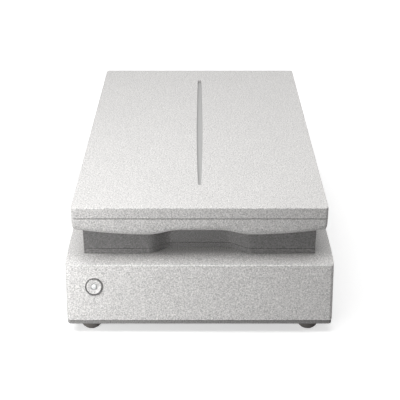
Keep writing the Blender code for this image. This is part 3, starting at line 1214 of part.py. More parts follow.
def make_hinge_bracket(side, x, ear):
    """A folded bracket on the lid, with an ear on each side of the post's eye."""
    top = LIP_Z - SEAT_GAP
    reach = ear + EAR_THICKNESS
    bracket = box(f"hinge_bracket_{side}", (x - reach, HINGE_Y - EAR_R, top - BRACKET_PLATE),
                  (x + reach, HINGE_Y + EAR_R, top), ZINC)
    for low_x in (x - reach, x + ear):
        join(bracket, box("bracket_ear", (low_x, HINGE_Y - EAR_R, HINGE_Z),
                          (low_x + EAR_THICKNESS, HINGE_Y + EAR_R, top - BRACKET_PLATE / 2)))
        join(bracket, cylinder("ear_round", (low_x, HINGE_Y, HINGE_Z),
                               (low_x + EAR_THICKNESS, HINGE_Y, HINGE_Z), EAR_R))
    cut(bracket, cylinder("ear_bore", (x - 2 * reach, HINGE_Y, HINGE_Z),
                          (x + 2 * reach, HINGE_Y, HINGE_Z), PIN_R + PIN_GAP))


def slit_half(share):
    """Half the slit's width, from its front end at 0 to its rear end at 1."""
    taper = SLIT_FRONT_HALF + (SLIT_REAR_HALF - SLIT_FRONT_HALF) * share
    return taper + SLIT_BULGE * math.sin(math.pi * share ** SLIT_SKEW)


def slit_outline(border):
    """As many points round the slit as lid_rim has, and closer together at its ends."""
    length = SLIT_REAR_Y - SLIT_FRONT_Y
    steps = 2 * ROUND_STEPS + LID_SIDE_STEPS
    shares = [(1 - math.cos(math.pi * step / steps)) / 2 for step in range(steps + 1)]
    right = [(slit_half(s) + border, SLIT_FRONT_Y + length * s) for s in shares]
    right[0] = (right[0][0], right[0][1] - border)
    right[-1] = (right[-1][0], right[-1][1] + border)
    return right + [(-x, y) for x, y in reversed(right)]


def lid_rim(inset):
    return rounded_rectangle(LID_HALF - inset, LID_FRONT_Y + inset, LID_REAR_Y - inset,
                             LID_CORNER_R - inset, side_steps=LID_SIDE_STEPS)


def make_lid_top():
    """A shell open below, skinned from its rim up, over its edge, through the slit and down."""
    low = SEAM_Z + SEAM_GAP / 2
    ceiling = LID_TOP_Z - LID_WALL
    rings = [(lid_rim(0), low)]
    for step in range(EDGE_STEPS + 1):
        angle = math.pi / 2 * step / EDGE_STEPS
        rings.append((lid_rim(LID_EDGE_R * (1 - math.cos(angle))),
                      LID_TOP_Z - LID_EDGE_R * (1 - math.sin(angle))))
    rings += [(slit_outline(0), LID_TOP_Z), (slit_outline(0), ceiling),
              (lid_rim(LID_WALL), ceiling), (lid_rim(LID_WALL), low)]
    lofted("lid_top_cover", [[(x, y, z) for x, y in ring] for ring, z in rings], SILVER,
           around=True)
    inlay_top = LID_TOP_Z - LID_WALL - SEAT_GAP
    plate("lid_inlay", [slit_outline(INLAY_BORDER)], inlay_top - INLAY_THICKNESS, inlay_top, INLAY)


def lip_dip(x):
    """How far the front lip hangs below the lid's edge: two lobes with a notch between."""
    away = abs(x)
    if away <= LIP_NOTCH_X:
        return LIP_NOTCH_DIP
    if away <= LIP_DIP_X:
        share = (away - LIP_NOTCH_X) / (LIP_DIP_X - LIP_NOTCH_X)
        rise = (1 - math.cos(math.pi * share)) / 2
        return LIP_NOTCH_DIP + (LIP_DIP - LIP_NOTCH_DIP) * rise
    if away >= LIP_END_X:
        return 0.0
    share = (LIP_END_X - away) / (LIP_END_X - LIP_DIP_X)
    return LIP_DIP * math.sin(math.pi / 2 * share ** LIP_SKEW)


def lid_outline(inset):
    """The lid's outline with closely spaced points along its front, where the lip waves."""
    points = rounded_rectangle(LID_HALF - inset, LID_FRONT_Y + inset, LID_REAR_Y - inset,
                               max(LID_CORNER_R - inset, LID_EDGE_R))
    half = LID_HALF - max(LID_CORNER_R, LID_EDGE_R + inset)
    front = [(-half + 2 * half * step / LIP_STEPS, LID_FRONT_Y + inset)
             for step in range(1, LIP_STEPS)]
    return front + points


def make_lid_lower():
    """The lid's lower ring: a tapered side, the waved lip and a flange turned inwards."""
    top = SEAM_Z - SEAM_GAP / 2
    height = top - LIP_Z

    def ring(inset, z, share):
        points = []
        for x, y in lid_outline(inset):
            on_front = y < LID_FRONT_Y + LID_CORNER_R + inset
            points.append((x, y, z - (lip_dip(x) * share if on_front else 0)))
        return points

    rings = [ring(0, top, 0)]
    for tuck_share, height_share, wave_share in LID_SIDE_SHARES:
        rings.append(ring(LIP_TUCK * tuck_share, top - height * height_share, wave_share))
    rings += [ring(LIP_TUCK, LIP_Z, 1), ring(LIP_TUCK + LIP_FLAT, LIP_Z, 1),
              ring(LIP_TUCK + LIP_FLAT + LIP_RETURN, LIP_Z, 0)]
    inner_half = HOUSING_HALF - FLANGE_LAP
    front = HOUSING_FRONT_Y + SCOOP_DEPTH + FLANGE_LAP
    rear = HOUSING_REAR_Y - FLANGE_LAP
    body = lofted("lid_lower_cover", rings, SILVER, wall=-FLANGE_THICKNESS)
    bm = bmesh.new()
    bm.from_mesh(body.data)
    inner = [e for e in bm.edges if e.is_boundary and all(v.co.z < top - height / 2
                                                          for v in e.verts)]
    made = bmesh.ops.extrude_edge_only(bm, edges=inner)
    for vert in made["geom"]:
        if isinstance(vert, bmesh.types.BMVert):
            vert.co.x = max(-inner_half, min(inner_half, vert.co.x))
            vert.co.y = max(front, min(rear, vert.co.y))
            vert.co.z = LIP_Z
    bmesh.ops.remove_doubles(bm, verts=bm.verts, dist=MERGE_GAP)
    bmesh.ops.recalc_face_normals(bm, faces=bm.faces)
    bm.to_mesh(body.data)
    bm.free()
    hole = cylinder("gland_hole", (GLAND_X, LID_REAR_Y - 2 * GLAND_LENGTH, GLAND_Z),
                    (GLAND_X, LID_REAR_Y + OVERRUN, GLAND_Z), GLAND_R + SEAT_GAP)
    cut(body, hole)
    gland = [(GLAND_BORE_R, 0), (GLAND_R, 0), (GLAND_R, -GLAND_LENGTH + GLAND_FLANGE),
             (GLAND_FLANGE_R, -GLAND_LENGTH + GLAND_FLANGE), (GLAND_FLANGE_R, -GLAND_LENGTH),
             (GLAND_BORE_R, -GLAND_LENGTH)]
    turned("cable_gland", gland, RUBBER, (GLAND_X, LID_REAR_Y - SEAT_GAP, GLAND_Z), (0, 1, 0),
           steps=20)


def scoop_front(inset=0.0):
    """The housing's front line from left to right, drawn back in the middle for fingers."""
    half = HOUSING_HALF - inset
    front = HOUSING_FRONT_Y + inset
    points = [(-half, front)]
    for sign in (-1, 1):
        shares = [step / SCOOP_STEPS for step in range(SCOOP_STEPS + 1)]
        if sign > 0:
            shares.reverse()
        for share in shares:
            away = SCOOP_END_HALF + (SCOOP_FLAT_HALF - SCOOP_END_HALF) * share
            drawn = SCOOP_DEPTH * (1 - math.cos(math.pi * share)) / 2
            points.append((sign * away, front + drawn))
    points.append((half, front))
    return points


def make_housing():
    """The dark box that hangs under the lid, with rails for the mat along its lower edge."""
    outline = scoop_front() + [(HOUSING_HALF, HOUSING_REAR_Y), (-HOUSING_HALF, HOUSING_REAR_Y)]
    rings = [[(x, y, z) for x, y in outline] for z in (HOUSING_TOP_Z, HOUSING_FLOOR_Z)]
    housing = lofted("film_lamp_housing", rings, DARK, close_last=True, wall=-HOUSING_WALL)
    bm = bmesh.new()
    bm.from_mesh(housing.data)
    bmesh.ops.recalc_face_normals(bm, faces=bm.faces)
    bm.normal_update()
    if max(bm.faces, key=lambda f: f.calc_area()).normal.z > 0:
        bmesh.ops.reverse_faces(bm, faces=bm.faces)
    bm.to_mesh(housing.data)
    bm.free()
    bar_rear = HOUSING_FRONT_Y + MAT_BAR_DEPTH + SEAT_GAP
    sink = HOUSING_FLOOR_Z + HOUSING_WALL / 2
    join(housing, plate("mat_rails", [u_outline(bar_rear, HOUSING_WALL)], HOUSING_BOTTOM_Z, sink))
    join(housing, plate("mat_ledges", [u_outline(bar_rear, HOUSING_WALL + LEDGE_WIDTH)],
                        HOUSING_BOTTOM_Z, HOUSING_BOTTOM_Z + LEDGE_THICKNESS))
    half = FILM_WINDOW_HALF
    floor_top = HOUSING_FLOOR_Z + HOUSING_WALL
    cut(housing, plate("film_opening", [rounded_rectangle(half, FILM_WINDOW_FRONT_Y,
                                                          FILM_WINDOW_REAR_Y, CASE_EDGE_R)],
                       HOUSING_FLOOR_Z - OVERRUN, floor_top + OVERRUN))
    for y in (FILM_ROD_FRONT_Y, FILM_ROD_REAR_Y - FILM_ROD_PILLAR):
        join(housing, box("rod_pillar", (FILM_ROD_X - FILM_ROD_R, y, sink),
                          (FILM_ROD_X + FILM_ROD_R, y + FILM_ROD_PILLAR,
                           FILM_ROD_Z - FILM_ROD_R - SEAT_GAP)))
    join(housing, box("film_rail", (FILM_RAIL_X - FILM_RAIL_WIDTH / 2, FILM_ROD_FRONT_Y, sink),
                      (FILM_RAIL_X + FILM_RAIL_WIDTH / 2, FILM_ROD_REAR_Y,
                       FILM_CARRIAGE_BOTTOM_Z - SEAT_GAP)))
    box("film_window", (-half - FILM_PANE_LAP, FILM_WINDOW_FRONT_Y - FILM_PANE_LAP,
                        PANE_BOTTOM_Z),
        (half + FILM_PANE_LAP, FILM_WINDOW_REAR_Y + FILM_PANE_LAP, PANE_TOP_Z), LAMP)


def u_outline(front, width):
    """A U round the housing's sides and rear, open towards the front."""
    half, rear = HOUSING_HALF, HOUSING_REAR_Y
    return [(half, front), (half, rear), (-half, rear), (-half, front),
            (-half + width, front), (-half + width, rear - width), (half - width, rear - width),
            (half - width, front)]


def make_mat():
    """A plate that slides out under the housing's front wall, with a white pad below it."""
    low = HOUSING_BOTTOM_Z + LEDGE_THICKNESS + SEAT_GAP
    half = HOUSING_HALF - HOUSING_WALL - SEAT_GAP
    bar_rear = HOUSING_FRONT_Y + MAT_BAR_DEPTH
    rear = HOUSING_REAR_Y - HOUSING_WALL - SEAT_GAP
    high = HOUSING_FLOOR_Z - SEAT_GAP
    mat = box("mat_plate", (-half, bar_rear - MAT_BAR_DEPTH / 4, low), (half, rear, high), DARK)
    bar = scoop_front() + [(HOUSING_HALF, bar_rear), (-HOUSING_HALF, bar_rear)]
    join(mat, plate("mat_bar", [bar], HOUSING_BOTTOM_Z, high))
    pad_half = HOUSING_HALF - HOUSING_WALL - LEDGE_WIDTH - MAT_PAD_INSET
    pad_rear = rear - LEDGE_WIDTH - MAT_PAD_INSET
    box("mat_pad", (-pad_half, bar_rear + MAT_PAD_INSET, HOUSING_BOTTOM_Z),
        (pad_half, pad_rear, low - SEAT_GAP), WHITE)


def make_film_lamp():
    """The lamp bar that runs over the film window, with its rod, belt and motor."""
    cylinder("film_lamp_rod", (FILM_ROD_X, FILM_ROD_FRONT_Y, FILM_ROD_Z),
             (FILM_ROD_X, FILM_ROD_REAR_Y, FILM_ROD_Z), FILM_ROD_R, STEEL, steps=20)
    low_y = FILM_CARRIAGE_Y - FILM_CARRIAGE_DEPTH / 2
    high_y = FILM_CARRIAGE_Y + FILM_CARRIAGE_DEPTH / 2
    half, wall = FILM_CARRIAGE_HALF, FILM_CARRIAGE_WALL
    carriage = box("film_lamp_carriage", (-half, low_y, FILM_CARRIAGE_BOTTOM_Z),
                   (half, high_y, FILM_CARRIAGE_TOP_Z), BLACK)
    trough_low = FILM_ROD_X + FILM_ROD_R + wall + SEAT_GAP
    cut(carriage, box("lamp_trough", (trough_low, low_y + wall, FILM_CARRIAGE_BOTTOM_Z - OVERRUN),
                      (FILM_RAIL_X - FILM_RAIL_WIDTH / 2 - wall, high_y - wall,
                       FILM_CARRIAGE_TOP_Z - wall)))
    cut(carriage, cylinder("rod_bore", (FILM_ROD_X, low_y - OVERRUN, FILM_ROD_Z),
                           (FILM_ROD_X, high_y + OVERRUN, FILM_ROD_Z), FILM_ROD_R + AXLE_GAP,
                           steps=20))
    cylinder("film_lamp", (trough_low + SEAT_GAP, FILM_CARRIAGE_Y, FILM_ROD_Z),
             (FILM_RAIL_X - FILM_RAIL_WIDTH / 2 - wall - SEAT_GAP, FILM_CARRIAGE_Y, FILM_ROD_Z),
             FILM_LAMP_R, LAMP, steps=12)

    flange = FILM_PULLEY_FLANGE
    belt_low = FILM_PULLEY_BOTTOM_Z + flange + SEAT_GAP
    pulley_top = belt_low + FILM_BELT_WIDTH + SEAT_GAP + flange
    belt_r = FILM_PULLEY_R + SEAT_GAP
    make_belt("film_belt", FILM_BELT_X, FILM_BELT_FRONT_Y, FILM_BELT_REAR_Y, belt_r,
              FILM_BELT_THICKNESS, belt_low, FILM_BELT_WIDTH)
    drive = pulley_profile(MOTOR_SHAFT_R + SEAT_GAP, FILM_PULLEY_R, FILM_PULLEY_FLANGE_R, flange,
                           FILM_PULLEY_BOTTOM_Z, pulley_top)
    turned("film_drive_pulley", drive, NYLON, (FILM_BELT_X, FILM_BELT_REAR_Y, 0), steps=24)
    idle = pulley_profile(AXLE_R + AXLE_GAP, FILM_PULLEY_R, FILM_PULLEY_FLANGE_R, flange,
                          FILM_PULLEY_BOTTOM_Z, pulley_top)
    turned("film_idler_pulley", idle, NYLON, (FILM_BELT_X, FILM_BELT_FRONT_Y, 0), steps=24)
    clamp_x = FILM_BELT_X - belt_r - FILM_BELT_THICKNESS / 2
    grip = FILM_BELT_THICKNESS / 2 + SEAT_GAP
    half_clamp = grip + FILM_CARRIAGE_WALL
    join(carriage, box("film_belt_clamp", (clamp_x - half_clamp,
                                           FILM_CARRIAGE_Y - FILM_CLAMP_LENGTH / 2,
                                           FILM_CARRIAGE_TOP_Z - FILM_CARRIAGE_WALL / 2),
                       (clamp_x + half_clamp, FILM_CARRIAGE_Y + FILM_CLAMP_LENGTH / 2, pulley_top)))
    cut(carriage, box("film_belt_groove", (clamp_x - grip, low_y, belt_low - SEAT_GAP),
                      (clamp_x + grip, high_y, pulley_top + OVERRUN)))

    plate_low = LIP_Z + FLANGE_THICKNESS + SEAT_GAP
    plate_high = plate_low + FILM_PLATE_THICKNESS
    motor_plate = box("film_motor_plate", (FILM_BELT_X - FILM_PLATE_HALF,
                                           FILM_BELT_REAR_Y - FILM_MOTOR_R, plate_low),
                      (FILM_BELT_X + FILM_PLATE_HALF, HOUSING_REAR_Y, plate_high), ZINC)
    cut(motor_plate, cylinder("film_shaft_hole", (FILM_BELT_X, FILM_BELT_REAR_Y,
                                                  plate_low - OVERRUN / 4),
                              (FILM_BELT_X, FILM_BELT_REAR_Y, plate_high + OVERRUN),
                              SHAFT_HOLE_R, steps=16))
    motor_low = plate_high + SEAT_GAP
    motor = cylinder("film_motor", (FILM_BELT_X, FILM_BELT_REAR_Y, motor_low),
                     (FILM_BELT_X, FILM_BELT_REAR_Y, motor_low + FILM_MOTOR_HEIGHT), FILM_MOTOR_R,
                     STEEL, steps=28)
    join(motor, cylinder("film_motor_shaft", (FILM_BELT_X, FILM_BELT_REAR_Y, FILM_PULLEY_BOTTOM_Z),
                         (FILM_BELT_X, FILM_BELT_REAR_Y, motor_low + FILM_MOTOR_HEIGHT / 2),
                         MOTOR_SHAFT_R, steps=12))
    front_edge = HOUSING_FRONT_Y + SCOOP_DEPTH
    idler_plate = box("film_idler_plate", (FILM_BELT_X - FILM_PLATE_HALF, front_edge, plate_low),
                      (FILM_BELT_X + FILM_PLATE_HALF, FILM_BELT_FRONT_Y + FILM_PLATE_MARGIN,
                       plate_high), ZINC)
    join(idler_plate, cylinder("film_idler_pin", (FILM_BELT_X, FILM_BELT_FRONT_Y,
                                                  FILM_PULLEY_BOTTOM_Z),
                               (FILM_BELT_X, FILM_BELT_FRONT_Y, plate_low + FILM_PLATE_THICKNESS / 2),
                               AXLE_R, steps=16))


make_upper_case()
make_lower_case()
make_feet()
make_platen()
make_power_button()
make_guides()
make_carriage()
make_carriage_drive()
make_ribbon()
make_electronics()
make_transport_lock()
make_hinge_posts()
make_lid_top()
make_lid_lower()
make_housing()
make_mat()
make_film_lamp()
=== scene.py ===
import math

import bmesh
import bpy
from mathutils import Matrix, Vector


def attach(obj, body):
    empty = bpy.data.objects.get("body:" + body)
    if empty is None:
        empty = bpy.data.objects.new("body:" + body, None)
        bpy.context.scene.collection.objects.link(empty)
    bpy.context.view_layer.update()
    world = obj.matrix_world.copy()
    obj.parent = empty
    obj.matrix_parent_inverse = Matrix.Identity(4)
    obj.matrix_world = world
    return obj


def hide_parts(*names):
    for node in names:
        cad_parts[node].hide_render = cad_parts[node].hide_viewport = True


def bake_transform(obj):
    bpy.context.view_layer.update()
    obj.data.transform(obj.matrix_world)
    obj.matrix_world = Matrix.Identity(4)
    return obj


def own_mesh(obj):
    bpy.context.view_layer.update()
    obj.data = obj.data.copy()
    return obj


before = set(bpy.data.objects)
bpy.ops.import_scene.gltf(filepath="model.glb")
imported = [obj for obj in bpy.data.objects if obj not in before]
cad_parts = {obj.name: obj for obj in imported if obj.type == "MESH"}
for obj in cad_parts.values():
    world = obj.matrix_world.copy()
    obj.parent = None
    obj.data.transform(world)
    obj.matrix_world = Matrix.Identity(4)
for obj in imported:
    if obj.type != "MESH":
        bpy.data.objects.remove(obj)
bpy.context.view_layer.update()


# The view: the machine was photographed from a little above its front, through a long lens
# that keeps its sides almost parallel.

EYE_BACK, EYE_HEIGHT, EYE_TILT = 1.1854, 0.6331, math.radians(63.74)

bpy.ops.object.select_all(action="DESELECT")
bpy.ops.object.camera_add(location=(0, -EYE_BACK, EYE_HEIGHT), rotation=(EYE_TILT, 0, 0))
camera = bpy.context.object
camera.name = "photo_camera"
camera.data.lens = 86.63
camera.data.sensor_width = 36
camera.data.shift_x = 0.001
bpy.context.scene.camera = camera
bpy.context.scene.view_settings.view_transform = "Standard"


# The table and the light: it stands on a white table that runs on out of sight. One soft box
# hangs above it, one stands high at its left, a small one stands low in front of its left
# corner, and weak ones light its rear and its right side.

TABLE_SIZE = 14
TABLE_BOUNCE, TABLE_WHITE = 0.03, 0.72
# Painted shade: the table's glow is dimmed round the machine, so the table is darker there.
NEAR_SCALE, NEAR_SHADE = 1.1, 0.62  # the table glows less near the machine, to show its shadow
ROOM_GLOW = 0.08


class Wire:
    """What comes out of a shader node. Sums written with it add Math nodes."""

    def __init__(self, finish, socket):
        self.finish = finish
        self.socket = socket

    def sum(self, operation, first, second):
        return self.finish.node("Math", {"operation": operation}, {0: first, 1: second})

    def __add__(self, other):
        return self.sum("ADD", self, other)

    def __sub__(self, other):
        return self.sum("SUBTRACT", self, other)

    def __rsub__(self, other):
        return self.sum("SUBTRACT", other, self)

    def __mul__(self, other):
        return self.sum("MULTIPLY", self, other)

    __radd__ = __add__
    __rmul__ = __mul__


class Finish:
    """A surface's shader nodes, and a slot name kept with them."""

    def __init__(self, name, block=None, slot=None):
        self.slot = slot or name
        self.block = block or bpy.data.materials.new(name)
        self.block.use_nodes = True
        self.block.node_tree.nodes.clear()

    def node(self, kind, settings=None, sockets=None, output=0):
        made = self.block.node_tree.nodes.new("ShaderNode" + kind)
        for name, value in (settings or {}).items():
            setattr(made, name, value)
        for name, value in (sockets or {}).items():
            if isinstance(value, Wire):
                self.block.node_tree.links.new(value.socket, made.inputs[name])
            else:
                made.inputs[name].default_value = value
        return Wire(self, made.outputs[output]) if len(made.outputs) else None


def seen(finish):
    """1 where a ray from the camera, a reflection or a look through glass arrives."""
    straight, mirrored, through = [
        finish.node("LightPath", output="Is " + way + " Ray")
        for way in ("Camera", "Glossy", "Transmission")]
    return finish.node("Math", {"operation": "ADD", "use_clamp": True},
                       {0: straight + mirrored, 1: through})


bpy.ops.mesh.primitive_plane_add(size=TABLE_SIZE)
table = bpy.context.object
table.name = "table"
white_top = Finish("table_top")
white_seen = seen(white_top)
spread = white_top.node("Mapping", {}, {"Vector": white_top.node("TexCoord", output="Object"),
                                        "Scale": (NEAR_SCALE,) * 3})
# Painted shade: a round patch about the machine where the table glows less.
near = white_top.node("TexGradient", {"gradient_type": "SPHERICAL"}, {"Vector": spread},
                      "Fac")
glow = white_top.node("Emission", {}, {"Color": (1, 1, 1, 1),
                                       "Strength": white_seen * (1 - near * NEAR_SHADE)})
matt = white_top.node("BsdfDiffuse", {}, {
    "Color": TABLE_BOUNCE + white_seen * (TABLE_WHITE - TABLE_BOUNCE)})
white_top.node("OutputMaterial", {}, {"Surface": white_top.node("AddShader", {},
                                                                {0: glow, 1: matt})})
table.data.materials.append(white_top.block)

if bpy.context.scene.world is None:
    bpy.context.scene.world = bpy.data.worlds.new("room")
room = Finish("room", bpy.context.scene.world)
room_light = room.node("Background", {}, {
    "Color": (1, 1, 1, 1), "Strength": ROOM_GLOW + seen(room) * (1 - ROOM_GLOW)}, "Background")
room.node("OutputWorld", {}, {"Surface": room_light})


def soft_box(name, place, aim, width, height, power):
    """A wide lamp at its place, turned to face its aim."""
    way = Vector(aim) - Vector(place)
    bpy.ops.object.light_add(type="AREA", location=place,
                             rotation=way.to_track_quat("-Z", "Y").to_euler())
    lamp = bpy.context.object
    lamp.name = name
    lamp.data.shape = "RECTANGLE"
    lamp.data.size = width
    lamp.data.size_y = height
    lamp.data.energy = power


soft_box("top_light", (0.05, -0.30, 1.20), (0, -0.05, 0.10), 0.8, 0.8, 6.3)
soft_box("left_light", (-0.50, -0.35, 0.75), (-0.05, -0.20, 0.12), 0.35, 0.35, 3.4)
soft_box("low_light", (-0.36, -0.62, 0.16), (-0.12, -0.25, 0.05), 0.25, 0.2, 1.5)
soft_box("rear_light", (-0.30, 0.80, 1.15), (0, 0.2, 0.08), 0.6, 0.5, 2.6)
soft_box("right_light", (0.85, 0.20, 0.40), (0.1, 0, 0.08), 0.5, 0.5, 2.0)


# The tray: the bottom of the case, moulded shallow in grey plastic with a fine eroded skin.
# It stands up inside the upper case and is screwed to it from below.

CLOUD_SCALE, SKIN_SCALE, SKIN_DEPTH = 14.0, 1900.0, 0.00006
SAME_POINT, SAME_PLANE = 0.000002, math.radians(0.5)


def speckled(name, colour, fleck=0.05, fleck_size=0.0012, rough=0.5, metallic=0.0, coat=0.0):
    """Moulded plastic: fine flecks, a slow unevenness of tone, and a skin with a grain."""
    finish = Finish(name)
    place = finish.node("TexCoord", output="Object")
    flecks = finish.node("TexNoise", {}, {"Vector": place, "Scale": 1 / fleck_size,
                                          "Detail": 1.0, "Roughness": 0.5})
    cloud = finish.node("TexNoise", {}, {"Vector": place, "Scale": CLOUD_SCALE, "Detail": 2.0})
    skin = finish.node("TexNoise", {}, {"Vector": place, "Scale": SKIN_SCALE, "Detail": 1.0})
    tone = 1 + (flecks - 0.5) * (5 * fleck) + (cloud - 0.5) * 0.06
    shade = finish.node("VectorMath", {"operation": "SCALE"}, {0: colour, "Scale": tone})
    bump = finish.node("Bump", {}, {"Height": skin + flecks * 0.6,
                                    "Distance": SKIN_DEPTH, "Strength": 0.8})
    shader = finish.node("BsdfPrincipled", {}, {
        "Base Color": shade, "Roughness": rough + (cloud - 0.5) * 0.12 + (flecks - 0.5) * 0.2,
        "Metallic": metallic, "Coat Weight": coat, "Coat Roughness": 0.25, "Normal": bump})
    finish.node("OutputMaterial", {}, {"Surface": shader})
    return finish


def pick(piece):
    """Selects one piece and nothing else."""
    bpy.ops.object.select_all(action="DESELECT")
    piece.select_set(True)
    bpy.context.view_layer.objects.active = piece


def worked(piece, kind, **settings):
    """Adds a modifier to a piece and applies it."""
    pick(piece)
    change = piece.modifiers.new(kind.lower(), kind)
    for name, value in settings.items():
        setattr(change, name, value)
    bpy.ops.object.modifier_apply(modifier=change.name)


def smoothed(piece, angle=32):
    """Shades a piece smooth up to an angle, with its flat faces kept flat."""
    pick(piece)
    bpy.ops.object.shade_smooth_by_angle(angle=math.radians(angle))
    worked(piece, "WEIGHTED_NORMAL", keep_sharp=True, weight=80)


def fitted(piece, finish, body, *stands_for):
    """Gives a piece its finish and the body it moves with, if that is a single one."""
    piece.data.materials.clear()
    piece.data.materials.append(finish.block)
    if body:
        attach(piece, body)
    if stands_for:
        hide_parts(*stands_for)
    return piece


def coated(finish, *names):
    """Gives CAD nodes, whose shape is right, their finish."""
    for name in names:
        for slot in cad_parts[name].material_slots:
            slot.material = finish.block


def trimmed(name, finish, body, edge=0.0003, angle=32):
    """A copy of a CAD node with its triangles merged and its sharp edges broken."""
    bpy.ops.object.select_all(action="DESELECT")
    piece = bpy.data.objects.new(name + "_trimmed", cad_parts[name].data.copy())
    bpy.context.scene.collection.objects.link(piece)
    pick(piece)
    bpy.ops.object.mode_set(mode="EDIT")
    bpy.ops.mesh.select_all(action="SELECT")
    bpy.ops.mesh.remove_doubles(threshold=SAME_POINT)
    bpy.ops.mesh.dissolve_limited(angle_limit=SAME_PLANE)
    bpy.ops.mesh.customdata_custom_splitnormals_clear()
    bpy.ops.object.mode_set(mode="OBJECT")
    if edge:
        worked(piece, "BEVEL", width=edge, segments=2, limit_method="ANGLE",
               angle_limit=math.radians(angle), harden_normals=False)
    smoothed(piece, angle)
    return fitted(piece, finish, body, name)


tray_grey = speckled("grey_plastic", (0.40, 0.392, 0.386), fleck=0.34, fleck_size=0.0014,
                     rough=0.6)
trimmed("lower_case", tray_grey, "base", edge=0.0004)


# The feet: four moulded rubber feet, pushed into the floor of the tray near its corners. Each
# is a squat dome with a flat sole that is dished in its middle.

FOOT_SIDE, FOOT_FRONT, FOOT_REAR = 0.1265, -0.2330, 0.2250
FOOT_DOME = [
    (0, 0.0006), (0.0050, 0.0006), (0.0056, 0), (0.0081, 0), (0.0089, 0.0004),
    (0.0109, 0.0028), (0.0118, 0.0052), (0.0120, 0.0078), (0.0120, 0.0112),
    (0.0117, 0.0117), (0, 0.0117)]


def traced(name, points):
    """A line drawn from point to point, left open for shaping with all of it selected."""
    bpy.ops.object.select_all(action="DESELECT")
    bpy.ops.mesh.primitive_plane_add(size=0.001)
    piece = bpy.context.object
    piece.name = name
    bpy.ops.object.mode_set(mode="EDIT")
    bpy.ops.mesh.select_mode(type="VERT")
    bpy.ops.mesh.select_all(action="SELECT")
    bpy.ops.mesh.merge(type="CENTER")
    bpy.ops.transform.translate(value=points[0])
    for start, end in zip(points, points[1:]):
        bpy.ops.mesh.extrude_region_move(TRANSFORM_OT_translate={
            "value": tuple(after - before for before, after in zip(start, end))})
    bpy.ops.mesh.select_all(action="SELECT")
    return piece


def turned(name, profile, place, outward=(0, 0, 1), steps=56):
    """A piece spun from (radius, height) points about a line through its place."""
    piece = traced(name, [(radius, 0, height) for radius, height in profile])
    bpy.ops.mesh.spin(steps=steps, angle=math.tau, center=(0, 0, 0), axis=(0, 0, 1))
    bpy.ops.mesh.select_all(action="SELECT")
    bpy.ops.mesh.remove_doubles(threshold=SAME_POINT)
    bpy.ops.mesh.normals_make_consistent(inside=False)
    bpy.ops.object.mode_set(mode="OBJECT")
    piece.rotation_euler = Vector(outward).to_track_quat("Z", "Y").to_euler()
    piece.location = place
    bpy.ops.object.transform_apply(location=True, rotation=True, scale=True)
    smoothed(piece, 40)
    return piece


rubber = speckled("rubber", (0.20, 0.187, 0.175), fleck=0.12, rough=0.78)
for end, y in (("front", FOOT_FRONT), ("rear", FOOT_REAR)):
    for side, x in (("left", -FOOT_SIDE), ("right", FOOT_SIDE)):
        name = f"foot_{end}_{side}"
        fitted(turned(name + "_dome", FOOT_DOME, (x, y, 0)), rubber, "base", name)


# The upper case: one large moulding of ABS, painted a satin pale silver with a fine fleck. Its
# front leans back to a crease, and a narrow shelf slopes up from there to the deck round the
# glass. Two sleeves at its rear guide the hinge posts.

CASE_HALF, CASE_FOOT_HALF = 0.154, 0.153
CASE_FRONT, CASE_REAR, CASE_LOW, DECK = -0.2515, 0.2515, 0.018, 0.084
LEAN_ANGLE = math.radians(16.5)
LEAN = math.tan(LEAN_ANGLE)
SHELF_LINE, CREASE = -0.21175, 0.080
CASE_WALL, CASE_CORNER, CASE_EDGE = 0.0028, 0.0045, 0.0012
AT_PLACE = 0.001  # a point this near to a place counts as being there
POST_SIDE, POST_MIDDLE = 0.1, 0.2365
POST_HALF, POST_HALF_DEPTH = 0.0139, 0.0079
SLEEVE_WALL, SLEEVE_LOW, POST_HOLE_LOW = 0.0002, 0.033, 0.02
WINDOW_HALF, WINDOW_FRONT, WINDOW_REAR, WINDOW_CORNER = 0.109, -0.160, 0.150, 0.0025
RABBET_HALF, RABBET_FRONT, RABBET_REAR, GLASS_LIP = 0.1183, -0.1803, 0.1593, 0.0009
CUT_LOW, CUT_HIGH = 0.07, 0.09
BUTTON_PLACE = Vector((-0.121, -0.24027, 0.0559))
BUTTON_OUTWARD = Vector((0, -math.cos(LEAN_ANGLE), math.sin(LEAN_ANGLE)))
BUTTON_HOLE = 0.0099
BOARD_TOP = 0.0241
DATA_X, POWER_X, LAMP_X = 0.0446, 0.0589, 0.0750
SOCKETS = ((DATA_X, 0.0084, 0.0078), (POWER_X, 0.0074, 0.0074), (LAMP_X, 0.0120, 0.0060))
MOUTH_FRONT, MOUTH_REAR, MOUTH_ROOM = 0.24, 0.26, 0.0015


def block(name, low, high):
    """A block between two corners, opened for shaping."""
    bpy.ops.object.select_all(action="DESELECT")
    low, high = Vector(low), Vector(high)
    bpy.ops.mesh.primitive_cube_add(size=1, location=(low + high) / 2, scale=high - low)
    bpy.ops.object.transform_apply(location=True, rotation=True, scale=True)
    bpy.context.object.name = name
    bpy.ops.object.mode_set(mode="EDIT")
    return bpy.context.object


def middle(face):
    return sum((corner.co for corner in face.verts), Vector()) / len(face.verts)


def chosen(kind, test):
    """Selects the verts, edges or faces of the open piece that pass a test."""
    bpy.ops.mesh.select_mode(type={"verts": "VERT", "edges": "EDGE", "faces": "FACE"}[kind])
    bpy.ops.mesh.select_all(action="DESELECT")
    shape = bmesh.from_edit_mesh(bpy.context.object.data)
    for part in getattr(shape, kind):
        if test(part):
            part.select_set(True)
    shape.select_flush_mode()
    bmesh.update_edit_mesh(bpy.context.object.data)


def closed():
    """Ends the shaping of the open piece."""
    piece = bpy.context.object
    bpy.ops.mesh.select_all(action="SELECT")
    bpy.ops.mesh.normals_make_consistent(inside=False)
    bpy.ops.object.mode_set(mode="OBJECT")
    return piece


